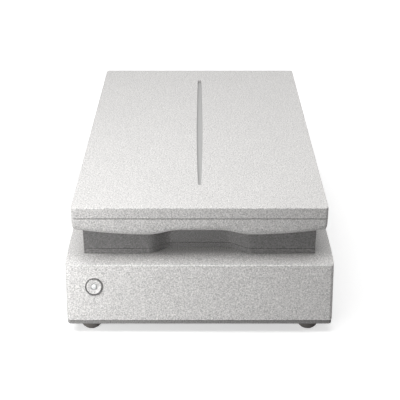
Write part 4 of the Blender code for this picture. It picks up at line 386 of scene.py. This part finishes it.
def upright(edge):
    """A standing edge at a corner."""
    along = edge.verts[1].co - edge.verts[0].co
    return (abs(along.z) > 0.8 * along.length and len(edge.link_faces) == 2
            and edge.calc_face_angle() > 1)


def at_rim(edge):
    """An edge between a side and the top."""
    return (len(edge.link_faces) == 2
            and abs(edge.link_faces[0].normal.z - edge.link_faces[1].normal.z) > 0.5)


def carved(piece, cutter, how="DIFFERENCE"):
    """Cuts a cutter out of a piece, or joins it on, and takes the cutter away."""
    worked(piece, "BOOLEAN", operation=how, object=cutter, solver="EXACT")
    bpy.data.objects.remove(cutter)


def round_hole(place, outward, radius, depth):
    """A round cutter about a line through its place."""
    bpy.ops.object.select_all(action="DESELECT")
    bpy.ops.mesh.primitive_cylinder_add(
        vertices=72, radius=radius, depth=depth, location=place,
        rotation=Vector(outward).to_track_quat("Z", "Y").to_euler())
    bpy.ops.object.transform_apply(location=True, rotation=True, scale=True)
    return bpy.context.object


def post_block(name, side, spare, low, high):
    """A block round the place of one hinge post, opened for shaping."""
    x, half, deep = side * POST_SIDE, POST_HALF + spare, POST_HALF_DEPTH + spare
    return block(name, (x - half, POST_MIDDLE - deep, low), (x + half, POST_MIDDLE + deep, high))


silver = speckled("silver_plastic", (0.66, 0.65, 0.64), fleck=0.32, fleck_size=0.0014,
                  rough=0.45, metallic=0.08, coat=0.08)

block("upper_case_shell", (-CASE_HALF, CASE_FRONT, CASE_LOW), (CASE_HALF, CASE_REAR, DECK))
chosen("verts", lambda v: v.co.z > CREASE and v.co.y < 0)
bpy.ops.transform.translate(value=(0, (DECK - CASE_LOW) * LEAN, 0))
chosen("verts", lambda v: v.co.z < CREASE)
bpy.ops.transform.resize(value=(CASE_FOOT_HALF / CASE_HALF, 1, 1),
                         center_override=(0, 0, CASE_LOW))
bpy.ops.mesh.select_all(action="SELECT")
bpy.ops.mesh.bisect(plane_co=(0, SHELF_LINE, 0), plane_no=(0, 1, 0))
chosen("verts", lambda v: v.co.z > CREASE and v.co.y < SHELF_LINE - AT_PLACE)
bpy.ops.transform.translate(value=(0, (CREASE - DECK) * LEAN, CREASE - DECK))
chosen("faces", lambda f: middle(f).z < CASE_LOW + AT_PLACE)
bpy.ops.mesh.delete(type="FACE")
chosen("edges", upright)
bpy.ops.mesh.bevel(offset=CASE_CORNER, segments=8, affect="EDGES")
chosen("edges", at_rim)
bpy.ops.mesh.bevel(offset=CASE_EDGE, segments=4, affect="EDGES")
case = closed()
worked(case, "SOLIDIFY", thickness=CASE_WALL, offset=-1, use_even_offset=True)

for side in (-1, 1):
    post_block("sleeve", side, SLEEVE_WALL, SLEEVE_LOW, DECK - CASE_WALL / 2)
    carved(case, closed(), "UNION")
    post_block("post_hole", side, 0, POST_HOLE_LOW, CUT_HIGH)
    carved(case, closed())
block("window", (-WINDOW_HALF, WINDOW_FRONT, CUT_LOW), (WINDOW_HALF, WINDOW_REAR, CUT_HIGH))
chosen("edges", upright)
bpy.ops.mesh.bevel(offset=WINDOW_CORNER, segments=4, affect="EDGES")
carved(case, closed())
block("rabbet", (-RABBET_HALF, RABBET_FRONT, CUT_LOW),
      (RABBET_HALF, RABBET_REAR, DECK - GLASS_LIP))
carved(case, closed())
carved(case, round_hole(BUTTON_PLACE, BUTTON_OUTWARD, BUTTON_HOLE, 0.02))
for x, width, height in SOCKETS:
    reach = width / 2 + MOUTH_ROOM
    block("opening", (x - reach, MOUTH_FRONT, BOARD_TOP),
          (x + reach, MOUTH_REAR, BOARD_TOP + height + 2 * MOUTH_ROOM))
    carved(case, closed())
smoothed(case, 30)
fitted(case, silver, "base", "upper_case")


# The glass: a sheet of float glass, bedded under the deck's lip. A white strip printed on its
# front end, under the lip, is what the sensor is set against before each scan.

glass = Finish("glass")
glass_streaks = glass.node("TexNoise", {}, {"Vector": glass.node("TexCoord", output="Object"),
                                            "Scale": 30.0, "Detail": 2.0})
glass_shader = glass.node("BsdfPrincipled", {}, {
    "Base Color": (0.90, 0.955, 0.94, 1), "Roughness": 0.015 + glass_streaks * 0.03,
    "IOR": 1.5, "Transmission Weight": 1.0})
glass.node("OutputMaterial", {}, {"Surface": glass_shader})
trimmed("platen_glass", glass, "base", edge=0.0003)
white = speckled("white_plastic", (0.80, 0.80, 0.78), fleck=0.02, rough=0.55)
coated(white, "calibration_strip")


# The carriage: a black moulded trough that carries the lamp, two mirrors, the lens and the
# line sensor under the glass. Its cover is a black pressing with a slot for the light.

STREAK_SCALE, SPANGLE_SCALE, STREAK_DEPTH = 60.0, 140.0, 0.00003

black = speckled("black_plastic", (0.028, 0.028, 0.030), fleck=0.05, rough=0.5)
trimmed("carriage_tray", black, "carriage", edge=0.0004)
trimmed("carriage_cover", black, "carriage", edge=0.0003)
trimmed("lens_barrel", black, "carriage", edge=0.0002)
lamp_glass = speckled("lamp_glass", (0.86, 0.88, 0.88), fleck=0.01, rough=0.25)
trimmed("scan_lamp", lamp_glass, "carriage", edge=0.0002)


def plated(name, colour, rough, lines):
    """Bare or plated metal with fine lines along one axis."""
    finish = Finish(name)
    place = finish.node("TexCoord", output="Object")
    drawn = finish.node("Mapping", {}, {"Vector": place, "Scale": lines})
    streak = finish.node("TexNoise", {}, {"Vector": drawn, "Scale": STREAK_SCALE, "Detail": 3.0})
    cells = finish.node("TexVoronoi", {}, {"Vector": place, "Scale": SPANGLE_SCALE}, "Color")
    spangle = finish.node("SeparateColor", {}, {"Color": cells})
    tone = 0.94 + (streak - 0.5) * 0.16 + spangle * 0.10
    shade = finish.node("VectorMath", {"operation": "SCALE"}, {0: colour, "Scale": tone})
    bump = finish.node("Bump", {}, {"Height": streak, "Distance": STREAK_DEPTH})
    shader = finish.node("BsdfPrincipled", {}, {
        "Base Color": shade, "Metallic": 0.95, "Roughness": rough + (streak - 0.5) * 0.2,
        "Normal": bump})
    finish.node("OutputMaterial", {}, {"Surface": shader})
    return finish


zinc = plated("zinc_plate", (0.58, 0.59, 0.61), 0.36, (1, 12, 12))
steel = plated("steel", (0.66, 0.66, 0.67), 0.22, (12, 1, 12))
trimmed("lamp_reflector", zinc, "carriage", edge=0.0002)

mirror = Finish("mirror")
mirror_dust = mirror.node("TexNoise", {}, {"Vector": mirror.node("TexCoord", output="Object"),
                                           "Scale": 90.0, "Detail": 3.0})
mirror_shader = mirror.node("BsdfPrincipled", {}, {
    "Base Color": (0.86, 0.87, 0.89, 1), "Metallic": 1.0, "Roughness": 0.02 + mirror_dust * 0.05})
mirror.node("OutputMaterial", {}, {"Surface": mirror_shader})
coated(mirror, "rear_mirror", "front_mirror")


def board_finish():
    """Green solder mask over copper tracks that run along and across the board."""
    finish = Finish("circuit_board")
    place = finish.node("TexCoord", output="Object")
    tracks = finish.node("TexBrick", {"offset": 0.5}, {
        "Vector": place, "Color1": (0.02, 0.15, 0.06, 1), "Color2": (0.03, 0.19, 0.08, 1),
        "Mortar": (0.07, 0.30, 0.12, 1), "Scale": 240.0, "Mortar Size": 0.03})
    shader = finish.node("BsdfPrincipled", {}, {"Base Color": tracks, "Roughness": 0.35,
                                                "Coat Weight": 0.4})
    finish.node("OutputMaterial", {}, {"Surface": shader})
    return finish


board = board_finish()
coated(board, "sensor_board", "main_board", "button_board")


# The guides and the drive: the carriage runs on a ground steel shaft and a nylon rail, drawn by
# a toothed belt that a small stepping motor turns through one pair of gears. A steel spring
# keeps the belt tight.

RIB_SCALE, RIB_DEPTH = 100.0, 0.0004
BELT_COIL_PLACE = (-0.0589, -0.2048, 0.0172)
BELT_COIL_RADIUS, BELT_COIL_WIRE, BELT_COIL_LENGTH = 0.0020, 0.0004, 0.0096

nylon = speckled("nylon", (0.74, 0.72, 0.65), fleck=0.02, rough=0.45)


def toothed():
    """Black rubber with ribs across the belt's run, lighter on the rib tops and darker in the
    grooves between them, under a faint chalky dust.
    """
    finish = Finish("belt")
    place = finish.node("TexCoord", output="Object")
    ribs = finish.node("TexWave", {"bands_direction": "Y"}, {
        "Vector": place, "Scale": RIB_SCALE, "Distortion": 0.0})
    dust = finish.node("TexNoise", {}, {"Vector": place, "Scale": 900.0, "Detail": 2.0})
    # The colour follows the ribs: lighter on their tops, darker in the grooves between them.
    shade = finish.node("VectorMath", {"operation": "SCALE"}, {
        0: (0.034, 0.034, 0.035), "Scale": 0.75 + ribs * 0.5 + dust * 0.3})
    bump = finish.node("Bump", {}, {"Height": ribs, "Distance": RIB_DEPTH})
    shader = finish.node("BsdfPrincipled", {}, {
        "Base Color": shade, "Roughness": 0.75 - ribs * 0.15, "Normal": bump})
    finish.node("OutputMaterial", {}, {"Surface": shader})
    return finish


belting = toothed()
trimmed("guide_shaft", steel, "base", edge=0.0003)
trimmed("glide_rail", nylon, "base", edge=0.0003)
trimmed("drive_gear", nylon, "drive_gear", edge=0.00015)
trimmed("motor_pinion", steel, "motor_pinion", edge=0.0001)
trimmed("idler_pulley", nylon, "idler_pulley", edge=0.0002)
trimmed("drive_belt", belting, "base", edge=0)
trimmed("scan_motor", zinc, "base", edge=0.0003)
trimmed("motor_bracket", zinc, "base", edge=0.0002)
trimmed("idler_bracket", zinc, "base", edge=0.0002)


def coiled(name, radius, wire, height, turns, place, outward):
    """A spring of round wire, wound about the line through its place."""
    bpy.ops.object.select_all(action="DESELECT")
    bpy.ops.mesh.primitive_circle_add(vertices=8, radius=wire, location=(radius, 0, 0),
                                      rotation=(math.pi / 2, 0, 0))
    bpy.ops.object.transform_apply(location=True, rotation=True, scale=True)
    coil = bpy.context.object
    coil.name = name
    worked(coil, "SCREW", axis="Z", angle=math.tau, screw_offset=height / turns,
           iterations=turns, steps=28, render_steps=28)
    bpy.ops.object.mode_set(mode="EDIT")
    bpy.ops.mesh.select_all(action="SELECT")
    bpy.ops.mesh.fill_holes(sides=0)
    closed()
    coil.rotation_euler = Vector(outward).to_track_quat("Z", "Y").to_euler()
    coil.location = place
    bpy.ops.object.transform_apply(location=True, rotation=True, scale=True)
    smoothed(coil, 60)
    return coil


belt_coil = coiled("belt_coil", BELT_COIL_RADIUS, BELT_COIL_WIRE, BELT_COIL_LENGTH, 6,
                   BELT_COIL_PLACE, (0, 1, 0))
fitted(belt_coil, steel, "base", "tension_spring")


# The flat cable: a strip of thin plastic with flat copper conductors in it. It lies on the
# floor, folds over at the front and ends under the carriage, which draws it along.

CABLE_LEFT, CABLE_WIDTH, CABLE_THICKNESS = 0.066, 0.020, 0.0005
CABLE_REAR, CABLE_FRONT, CABLE_LOW, CABLE_BEND = 0.2034, -0.1775, 0.0148, 0.00745
RUN_STEPS, FOLD_STEPS, TAIL_STEPS, TAIL_STEP = 48, 16, 3, 0.004
CONDUCTOR_SCALE, CONDUCTOR_DEPTH = 160.0, 0.00006


def striped():
    """Pale plastic over copper lines that run along the cable."""
    finish = Finish("ribbon")
    place = finish.node("TexCoord", output="Object")
    lines = finish.node("TexWave", {"bands_direction": "X"}, {
        "Vector": place, "Scale": CONDUCTOR_SCALE, "Distortion": 0.0})
    haze = finish.node("TexNoise", {}, {"Vector": place, "Scale": 70.0, "Detail": 3.0})
    shade = finish.node("Mix", {"data_type": "RGBA"}, {
        0: lines * 0.45, 6: (0.70, 0.70, 0.68, 1), 7: (0.40, 0.30, 0.22, 1)}, 2)
    bump = finish.node("Bump", {}, {"Height": lines, "Distance": CONDUCTOR_DEPTH})
    shader = finish.node("BsdfPrincipled", {}, {
        "Base Color": shade, "Roughness": 0.28 + haze * 0.25, "Normal": bump})
    finish.node("OutputMaterial", {}, {"Surface": shader})
    return finish


ribbon = striped()
run = [(CABLE_LEFT, CABLE_REAR + (CABLE_FRONT - CABLE_REAR) * step / RUN_STEPS, CABLE_LOW)
       for step in range(RUN_STEPS + 1)]
turns = [math.pi * step / FOLD_STEPS for step in range(1, FOLD_STEPS + 1)]
fold = [(CABLE_LEFT, CABLE_FRONT - CABLE_BEND * math.sin(turn),
         CABLE_LOW + CABLE_BEND * (1 - math.cos(turn))) for turn in turns]
tail = [(CABLE_LEFT, CABLE_FRONT + TAIL_STEP * step, CABLE_LOW + 2 * CABLE_BEND)
        for step in range(1, TAIL_STEPS + 1)]
cable = traced("flat_cable", run + fold + tail)
bpy.ops.mesh.extrude_region_move(TRANSFORM_OT_translate={"value": (CABLE_WIDTH, 0, 0)})
bpy.ops.object.mode_set(mode="OBJECT")
on_floor = list(cable.data.polygons)[:RUN_STEPS]
upward = sum((face.normal.z for face in on_floor), 0.0) > 0
worked(cable, "SOLIDIFY", thickness=CABLE_THICKNESS, offset=1 if upward else -1,
       use_even_offset=True)
bpy.ops.object.mode_set(mode="EDIT")
closed()
smoothed(cable, 40)
fitted(cable, ribbon, None, "ribbon_cable")
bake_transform(cable)


# The boards and what stands on them: the main board stands at the rear, with two chips, two
# capacitors and a quartz can soldered to it. The line sensor faces the lens from its own
# board on the carriage.

CHIP_GAP, CHIP_HIGH, CHIP_EDGE = 0.0003, 0.0021, 0.00025
LEG_OUT, LEG_IN, LEG_HIGH, LEG_DROP = 0.0012, 0.0003, 0.0010, 0.0007
CAN_Y, CAN_PLACES = 0.2155, (0.0665, 0.0775)
CAN_PROFILE = [
    (0, 0), (0.0037, 0), (0.0037, 0.0008), (0.0034, 0.0012), (0.0037, 0.0016),
    (0.0037, 0.0092), (0.0034, 0.0097), (0.0016, 0.0097), (0.0015, 0.0095), (0, 0.0095)]
QUARTZ_LEFT, QUARTZ_RIGHT, QUARTZ_FRONT, QUARTZ_REAR = 0.012, 0.022, 0.209, 0.213
QUARTZ_HIGH, QUARTZ_CORNER, QUARTZ_EDGE = 0.0032, 0.0018, 0.0004
SENSOR_HALF, SENSOR_FRONT, SENSOR_REAR = 0.028, -0.1410, -0.1389
SENSOR_LOW, SENSOR_TOP, SENSOR_FRAME, SENSOR_SINK = 0.0420, 0.0480, 0.0016, 0.0005


def chip(name, body, place, width, depth, legs):
    """A flat black package with a row of tinned legs down each long side."""
    x, y, z = place
    left, front = x - width / 2, y - depth / 2
    block(name, (left, front, z + CHIP_GAP), (x + width / 2, y + depth / 2, z + CHIP_HIGH))
    bpy.ops.mesh.select_all(action="SELECT")
    bpy.ops.mesh.bevel(offset=CHIP_EDGE, segments=2, affect="EDGES")
    package = closed()
    smoothed(package)
    fitted(package, black, body)
    pitch = width / (legs + 1)
    block(name + "_legs", (left + pitch * 0.7, front - LEG_OUT, z),
          (left + pitch * 1.3, front + LEG_IN, z + LEG_HIGH))
    chosen("verts", lambda v: v.co.y < front and v.co.z > z + LEG_HIGH / 2)
    bpy.ops.transform.translate(value=(0, 0, -LEG_DROP))
    leg = closed()
    worked(leg, "ARRAY", count=legs, use_relative_offset=False, use_constant_offset=True,
           constant_offset_displace=(pitch, 0, 0))
    pick(leg)
    bpy.ops.object.duplicate()
    far = bpy.context.object
    far.name = name + "_far_legs"
    bpy.ops.object.mode_set(mode="EDIT")
    bpy.ops.mesh.select_all(action="SELECT")
    bpy.ops.transform.rotate(value=math.pi, orient_axis="Z", center_override=(x, y, z))
    bpy.ops.object.mode_set(mode="OBJECT")
    for row in (leg, far):
        smoothed(row)
        fitted(row, steel, body)


chip("processor", "base", (0.026, 0.221, BOARD_TOP), 0.015, 0.013, 12)
chip("memory", "base", (0.048, 0.218, BOARD_TOP), 0.010, 0.006, 8)
for number, x in enumerate(CAN_PLACES, 1):
    can = turned(f"capacitor_{number}", CAN_PROFILE, (x, CAN_Y, BOARD_TOP), steps=32)
    fitted(can, black, "base")
block("quartz_can", (QUARTZ_LEFT, QUARTZ_FRONT, BOARD_TOP),
      (QUARTZ_RIGHT, QUARTZ_REAR, BOARD_TOP + QUARTZ_HIGH))
chosen("edges", upright)
bpy.ops.mesh.bevel(offset=QUARTZ_CORNER, segments=6, affect="EDGES")
chosen("edges", at_rim)
bpy.ops.mesh.bevel(offset=QUARTZ_EDGE, segments=2, affect="EDGES")
quartz = closed()
smoothed(quartz)
fitted(quartz, zinc, "base")
block("line_sensor", (-SENSOR_HALF, SENSOR_FRONT, SENSOR_LOW),
      (SENSOR_HALF, SENSOR_REAR, SENSOR_TOP))
chosen("faces", lambda f: f.normal.y < -0.9)
bpy.ops.mesh.inset(thickness=SENSOR_FRAME)
bpy.ops.transform.translate(value=(0, SENSOR_SINK, 0))
sensor = closed()
worked(sensor, "BEVEL", width=0.0002, segments=2)
smoothed(sensor)
fitted(sensor, black, "carriage")


# The sockets: three of them, soldered to the rear of the main board, show in the rear wall:
# one for data with a tongue in it, one for power round a pin, and one for the lid's lamp. The
# transport lock is a black slide in the tray.

SOCKET_BACK = 0.2385
TONGUE_HALF, TONGUE_REAR, TONGUE_LOW, TONGUE_TOP = 0.0028, 0.2505, 0.0285, 0.0317
TONGUE_EDGE = 0.0004
PIN_PROFILE = [(0, 0), (0.0011, 0), (0.0011, 0.0100), (0.0008, 0.0106), (0, 0.0108)]
PIN_FRONT, PIN_HEIGHT = 0.2388, 0.0296
CORE_HALF, CORE_REAR, CORE_LOW, CORE_TOP = 0.0044, 0.2500, 0.0275, 0.0299
CORE_RIM, CORE_SINK = 0.0005, 0.0015

block("data_tongue", (DATA_X - TONGUE_HALF, SOCKET_BACK, TONGUE_LOW),
      (DATA_X + TONGUE_HALF, TONGUE_REAR, TONGUE_TOP))
bpy.ops.mesh.select_all(action="SELECT")
bpy.ops.mesh.bevel(offset=TONGUE_EDGE, segments=2, affect="EDGES")
tongue = closed()
smoothed(tongue)
fitted(tongue, white, "base")
pin = turned("power_pin", PIN_PROFILE, (POWER_X, PIN_FRONT, PIN_HEIGHT), (0, 1, 0), steps=24)
fitted(pin, steel, "base")
block("lamp_plug_core", (LAMP_X - CORE_HALF, SOCKET_BACK, CORE_LOW),
      (LAMP_X + CORE_HALF, CORE_REAR, CORE_TOP))
chosen("faces", lambda f: f.normal.y > 0.9)
bpy.ops.mesh.inset(thickness=CORE_RIM)
bpy.ops.transform.translate(value=(0, -CORE_SINK, 0))
core = closed()
worked(core, "BEVEL", width=0.00015, segments=2)
smoothed(core)
fitted(core, white, "base")
trimmed("usb_socket", zinc, "base", edge=0.0002)
trimmed("power_inlet", black, "base", edge=0.0002)
trimmed("film_unit_socket", black, "base", edge=0.0002)
trimmed("transport_lock", black, "transport_lock", edge=0.0004)


# The screws of the tray: six steel screws with a cross in their heads hold the tray to the
# upper case from below.

SCREW_PLACES = ((-0.13, -0.19), (0.13, -0.19), (-0.13, 0.18), (0.13, 0.18),
                (0, -0.225), (0, 0.228))
SCREW_SEAT = 0.012
SCREW_HEAD = [(0, -0.0013), (0.0012, -0.0013), (0.0024, -0.0010), (0.0030, -0.0005),
              (0.0031, -0.0001), (0.0031, 0.0002), (0, 0.0002)]
CROSS_LONG, CROSS_NARROW, CROSS_LOW, CROSS_TOP = 0.0019, 0.0003, 0.0105, 0.0116

for number, (x, y) in enumerate(SCREW_PLACES, 1):
    head = turned(f"tray_screw_{number}", SCREW_HEAD, (x, y, SCREW_SEAT), steps=28)
    for across, along in ((CROSS_LONG, CROSS_NARROW), (CROSS_NARROW, CROSS_LONG)):
        block("cross", (x - across, y - along, CROSS_LOW), (x + across, y + along, CROSS_TOP))
        carved(head, closed())
    smoothed(head)
    fitted(head, steel, "base")


# The power button: a round silver key in a thin bezel, square to the leaning front. The
# bezel's dark colour is partly painted shade: it stands in for the shadow in the gap round the
# key. A milky light pipe shows in its middle, and a steel spring behind it pushes it out.

BEZEL = [
    (0.0091, -0.0040), (0.0091, 0.0007), (0.0094, 0.0011), (0.0100, 0.0011),
    (0.0104, 0.0007), (0.0104, 0.0001), (0.0097, 0.0001), (0.0097, -0.0040),
    (0.0091, -0.0040)]
KEY = [
    (0.0037, -0.0041), (0.0037, 0.0003), (0.0040, 0.0006), (0.0060, 0.0007),
    (0.0078, 0.0010), (0.0084, 0.0009), (0.0088, 0.0004), (0.0088, -0.0044),
    (0.0022, -0.0044), (0.0022, -0.0084), (0, -0.0084), (0, -0.0041), (0.0037, -0.0041)]
LIGHT_PIPE = [
    (0, 0.0011), (0.0014, 0.0010), (0.0026, 0.0007), (0.0032, 0.0001), (0.0033, -0.0005),
    (0.0033, -0.0040), (0, -0.0040)]
KEY_COIL_RADIUS, KEY_COIL_WIRE, KEY_COIL_LENGTH = 0.0052, 0.0004, 0.0047

dark = speckled("dark_plastic", (0.20, 0.196, 0.194), fleck=0.34, fleck_size=0.0014,
                rough=0.6)
# The bezel's dark plastic also paints the shadow of the gap round the key.
bezel = turned("button_bezel", BEZEL, BUTTON_PLACE, BUTTON_OUTWARD, steps=72)
fitted(bezel, dark, "base", "button_ring")
key = turned("power_key", KEY, BUTTON_PLACE, BUTTON_OUTWARD, steps=72)
fitted(key, silver, "power_button", "power_button")
light_pipe = turned("button_light_pipe", LIGHT_PIPE, BUTTON_PLACE, BUTTON_OUTWARD, steps=48)
fitted(light_pipe, lamp_glass, "power_button", "button_lens")
button_coil = coiled("button_coil", KEY_COIL_RADIUS, KEY_COIL_WIRE, KEY_COIL_LENGTH, 4,
                     BUTTON_PLACE - BUTTON_OUTWARD * 0.0098, BUTTON_OUTWARD)
fitted(button_coil, steel, "base", "button_spring")
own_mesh(button_coil)


# The hinge posts: two flat black posts that slide up and down in the case, so that the lid can
# lie on a thick book. The lid turns on steel pins through their tops.

trimmed("hinge_post_left", black, "hinge_posts", edge=0.0004)
trimmed("hinge_post_right", black, "hinge_posts", edge=0.0004)
trimmed("hinge_bracket_left", zinc, "lid", edge=0.0002)
trimmed("hinge_bracket_right", zinc, "lid", edge=0.0002)
coated(steel, "hinge_pin_left", "hinge_pin_right")


# The lid's covers: two silver mouldings that meet at a fine seam, a flat top and a lower ring
# with a waved lip at the front, by which the lid is lifted. A spindle-shaped slit along the
# top shows a glossy strip below it.

LID_HALF, LID_FRONT, LID_REAR, LID_SEAM, LID_TOP = 0.1445, -0.2265, 0.2515, 0.1366, 0.150
LID_WALL, LID_CORNER, LID_EDGE = 0.0025, 0.0037, 0.0012
SLIT_FRONT, SLIT_REAR, SLIT_STEPS = -0.166, 0.204, 36
SLIT_START, SLIT_GROWTH, SLIT_BELLY, SLIT_SKEW = 0.0016, 0.0010, 0.0017, 0.8
SLIT_REACH, SLIT_EDGE = 0.01, 0.0003

trimmed("lid_lower_cover", silver, "lid", edge=0.0006, angle=40)

block("lid_top_shell", (-LID_HALF, LID_FRONT, LID_SEAM), (LID_HALF, LID_REAR, LID_TOP))
chosen("faces", lambda f: middle(f).z < LID_SEAM + AT_PLACE)
bpy.ops.mesh.delete(type="FACE")
chosen("edges", upright)
bpy.ops.mesh.bevel(offset=LID_CORNER, segments=8, affect="EDGES")
chosen("edges", at_rim)
bpy.ops.mesh.bevel(offset=LID_EDGE, segments=4, affect="EDGES")
cover = closed()
worked(cover, "SOLIDIFY", thickness=LID_WALL, offset=-1, use_even_offset=True)

block("slit_cutter", (-SLIT_START, SLIT_FRONT, LID_TOP - SLIT_REACH),
      (SLIT_START, SLIT_REAR, LID_TOP + SLIT_REACH))
length = SLIT_REAR - SLIT_FRONT
for step in range(1, SLIT_STEPS):
    bpy.ops.mesh.select_all(action="SELECT")
    bpy.ops.mesh.bisect(plane_co=(0, SLIT_FRONT + length * step / SLIT_STEPS, 0),
                        plane_no=(0, 1, 0))
for step in range(1, SLIT_STEPS + 1):
    share = step / SLIT_STEPS
    half = (SLIT_START + SLIT_GROWTH * share
            + SLIT_BELLY * math.sin(math.pi * share ** SLIT_SKEW))
    chosen("verts", lambda v: abs(v.co.y - SLIT_FRONT - length * share) < AT_PLACE)
    bpy.ops.transform.resize(value=(half / SLIT_START, 1, 1), center_override=(0, 0, 0))
carved(cover, closed())
worked(cover, "BEVEL", width=SLIT_EDGE, segments=2, limit_method="ANGLE",
       angle_limit=math.radians(50))
smoothed(cover, 30)
fitted(cover, silver, "lid", "lid_top_cover")

inlay = speckled("inlay", (0.42, 0.42, 0.415), fleck=0.03, rough=0.35, coat=0.1)
coated(inlay, "lid_inlay")
trimmed("cable_gland", rubber, "lid", edge=0.0002)


# The film lamp and the mat: a dark housing under the lid holds a lamp that travels behind a
# frosted window, for slides. A mat with a white foam face slides over it in rails.

CELL_SCALE, CELL_DEPTH, STAIN_SCALE = 650.0, 0.0003, 9.0

trimmed("film_lamp_housing", dark, "lid", edge=0.0003, angle=40)
trimmed("mat_plate", dark, "document_mat", edge=0.0002)


def foamed():
    """Fine white foam: small open cells, with painted shade darkening each cell's hollow."""
    finish = Finish("foam", slot="white_plastic")
    place = finish.node("TexCoord", output="Object")
    cells = finish.node("TexVoronoi", {}, {"Vector": place, "Scale": CELL_SCALE}, "Distance")
    stain = finish.node("TexNoise", {}, {"Vector": place, "Scale": STAIN_SCALE, "Detail": 3.0})
    # Painted shade: the colour darkens into each cell's hollow, just as the bump sinks there.
    shade = finish.node("VectorMath", {"operation": "SCALE"}, {
        0: (0.80, 0.80, 0.785), "Scale": 0.88 + cells * 0.22 + (stain - 0.5) * 0.06})
    bump = finish.node("Bump", {}, {"Height": cells, "Distance": CELL_DEPTH})
    shader = finish.node("BsdfPrincipled", {}, {
        "Base Color": shade, "Roughness": 0.85 + (stain - 0.5) * 0.1, "Normal": bump})
    finish.node("OutputMaterial", {}, {"Surface": shader})
    return finish


foam = foamed()
trimmed("mat_pad", foam, "document_mat", edge=0.0003)
trimmed("film_window", lamp_glass, "lid", edge=0.0003)
trimmed("film_lamp_carriage", black, "film_lamp_bar", edge=0.0003)
coated(lamp_glass, "film_lamp")
coated(steel, "film_lamp_rod")
trimmed("film_belt", belting, "lid", edge=0)
coated(nylon, "film_drive_pulley", "film_idler_pulley")
coated(zinc, "film_motor", "film_motor_plate", "film_idler_plate")
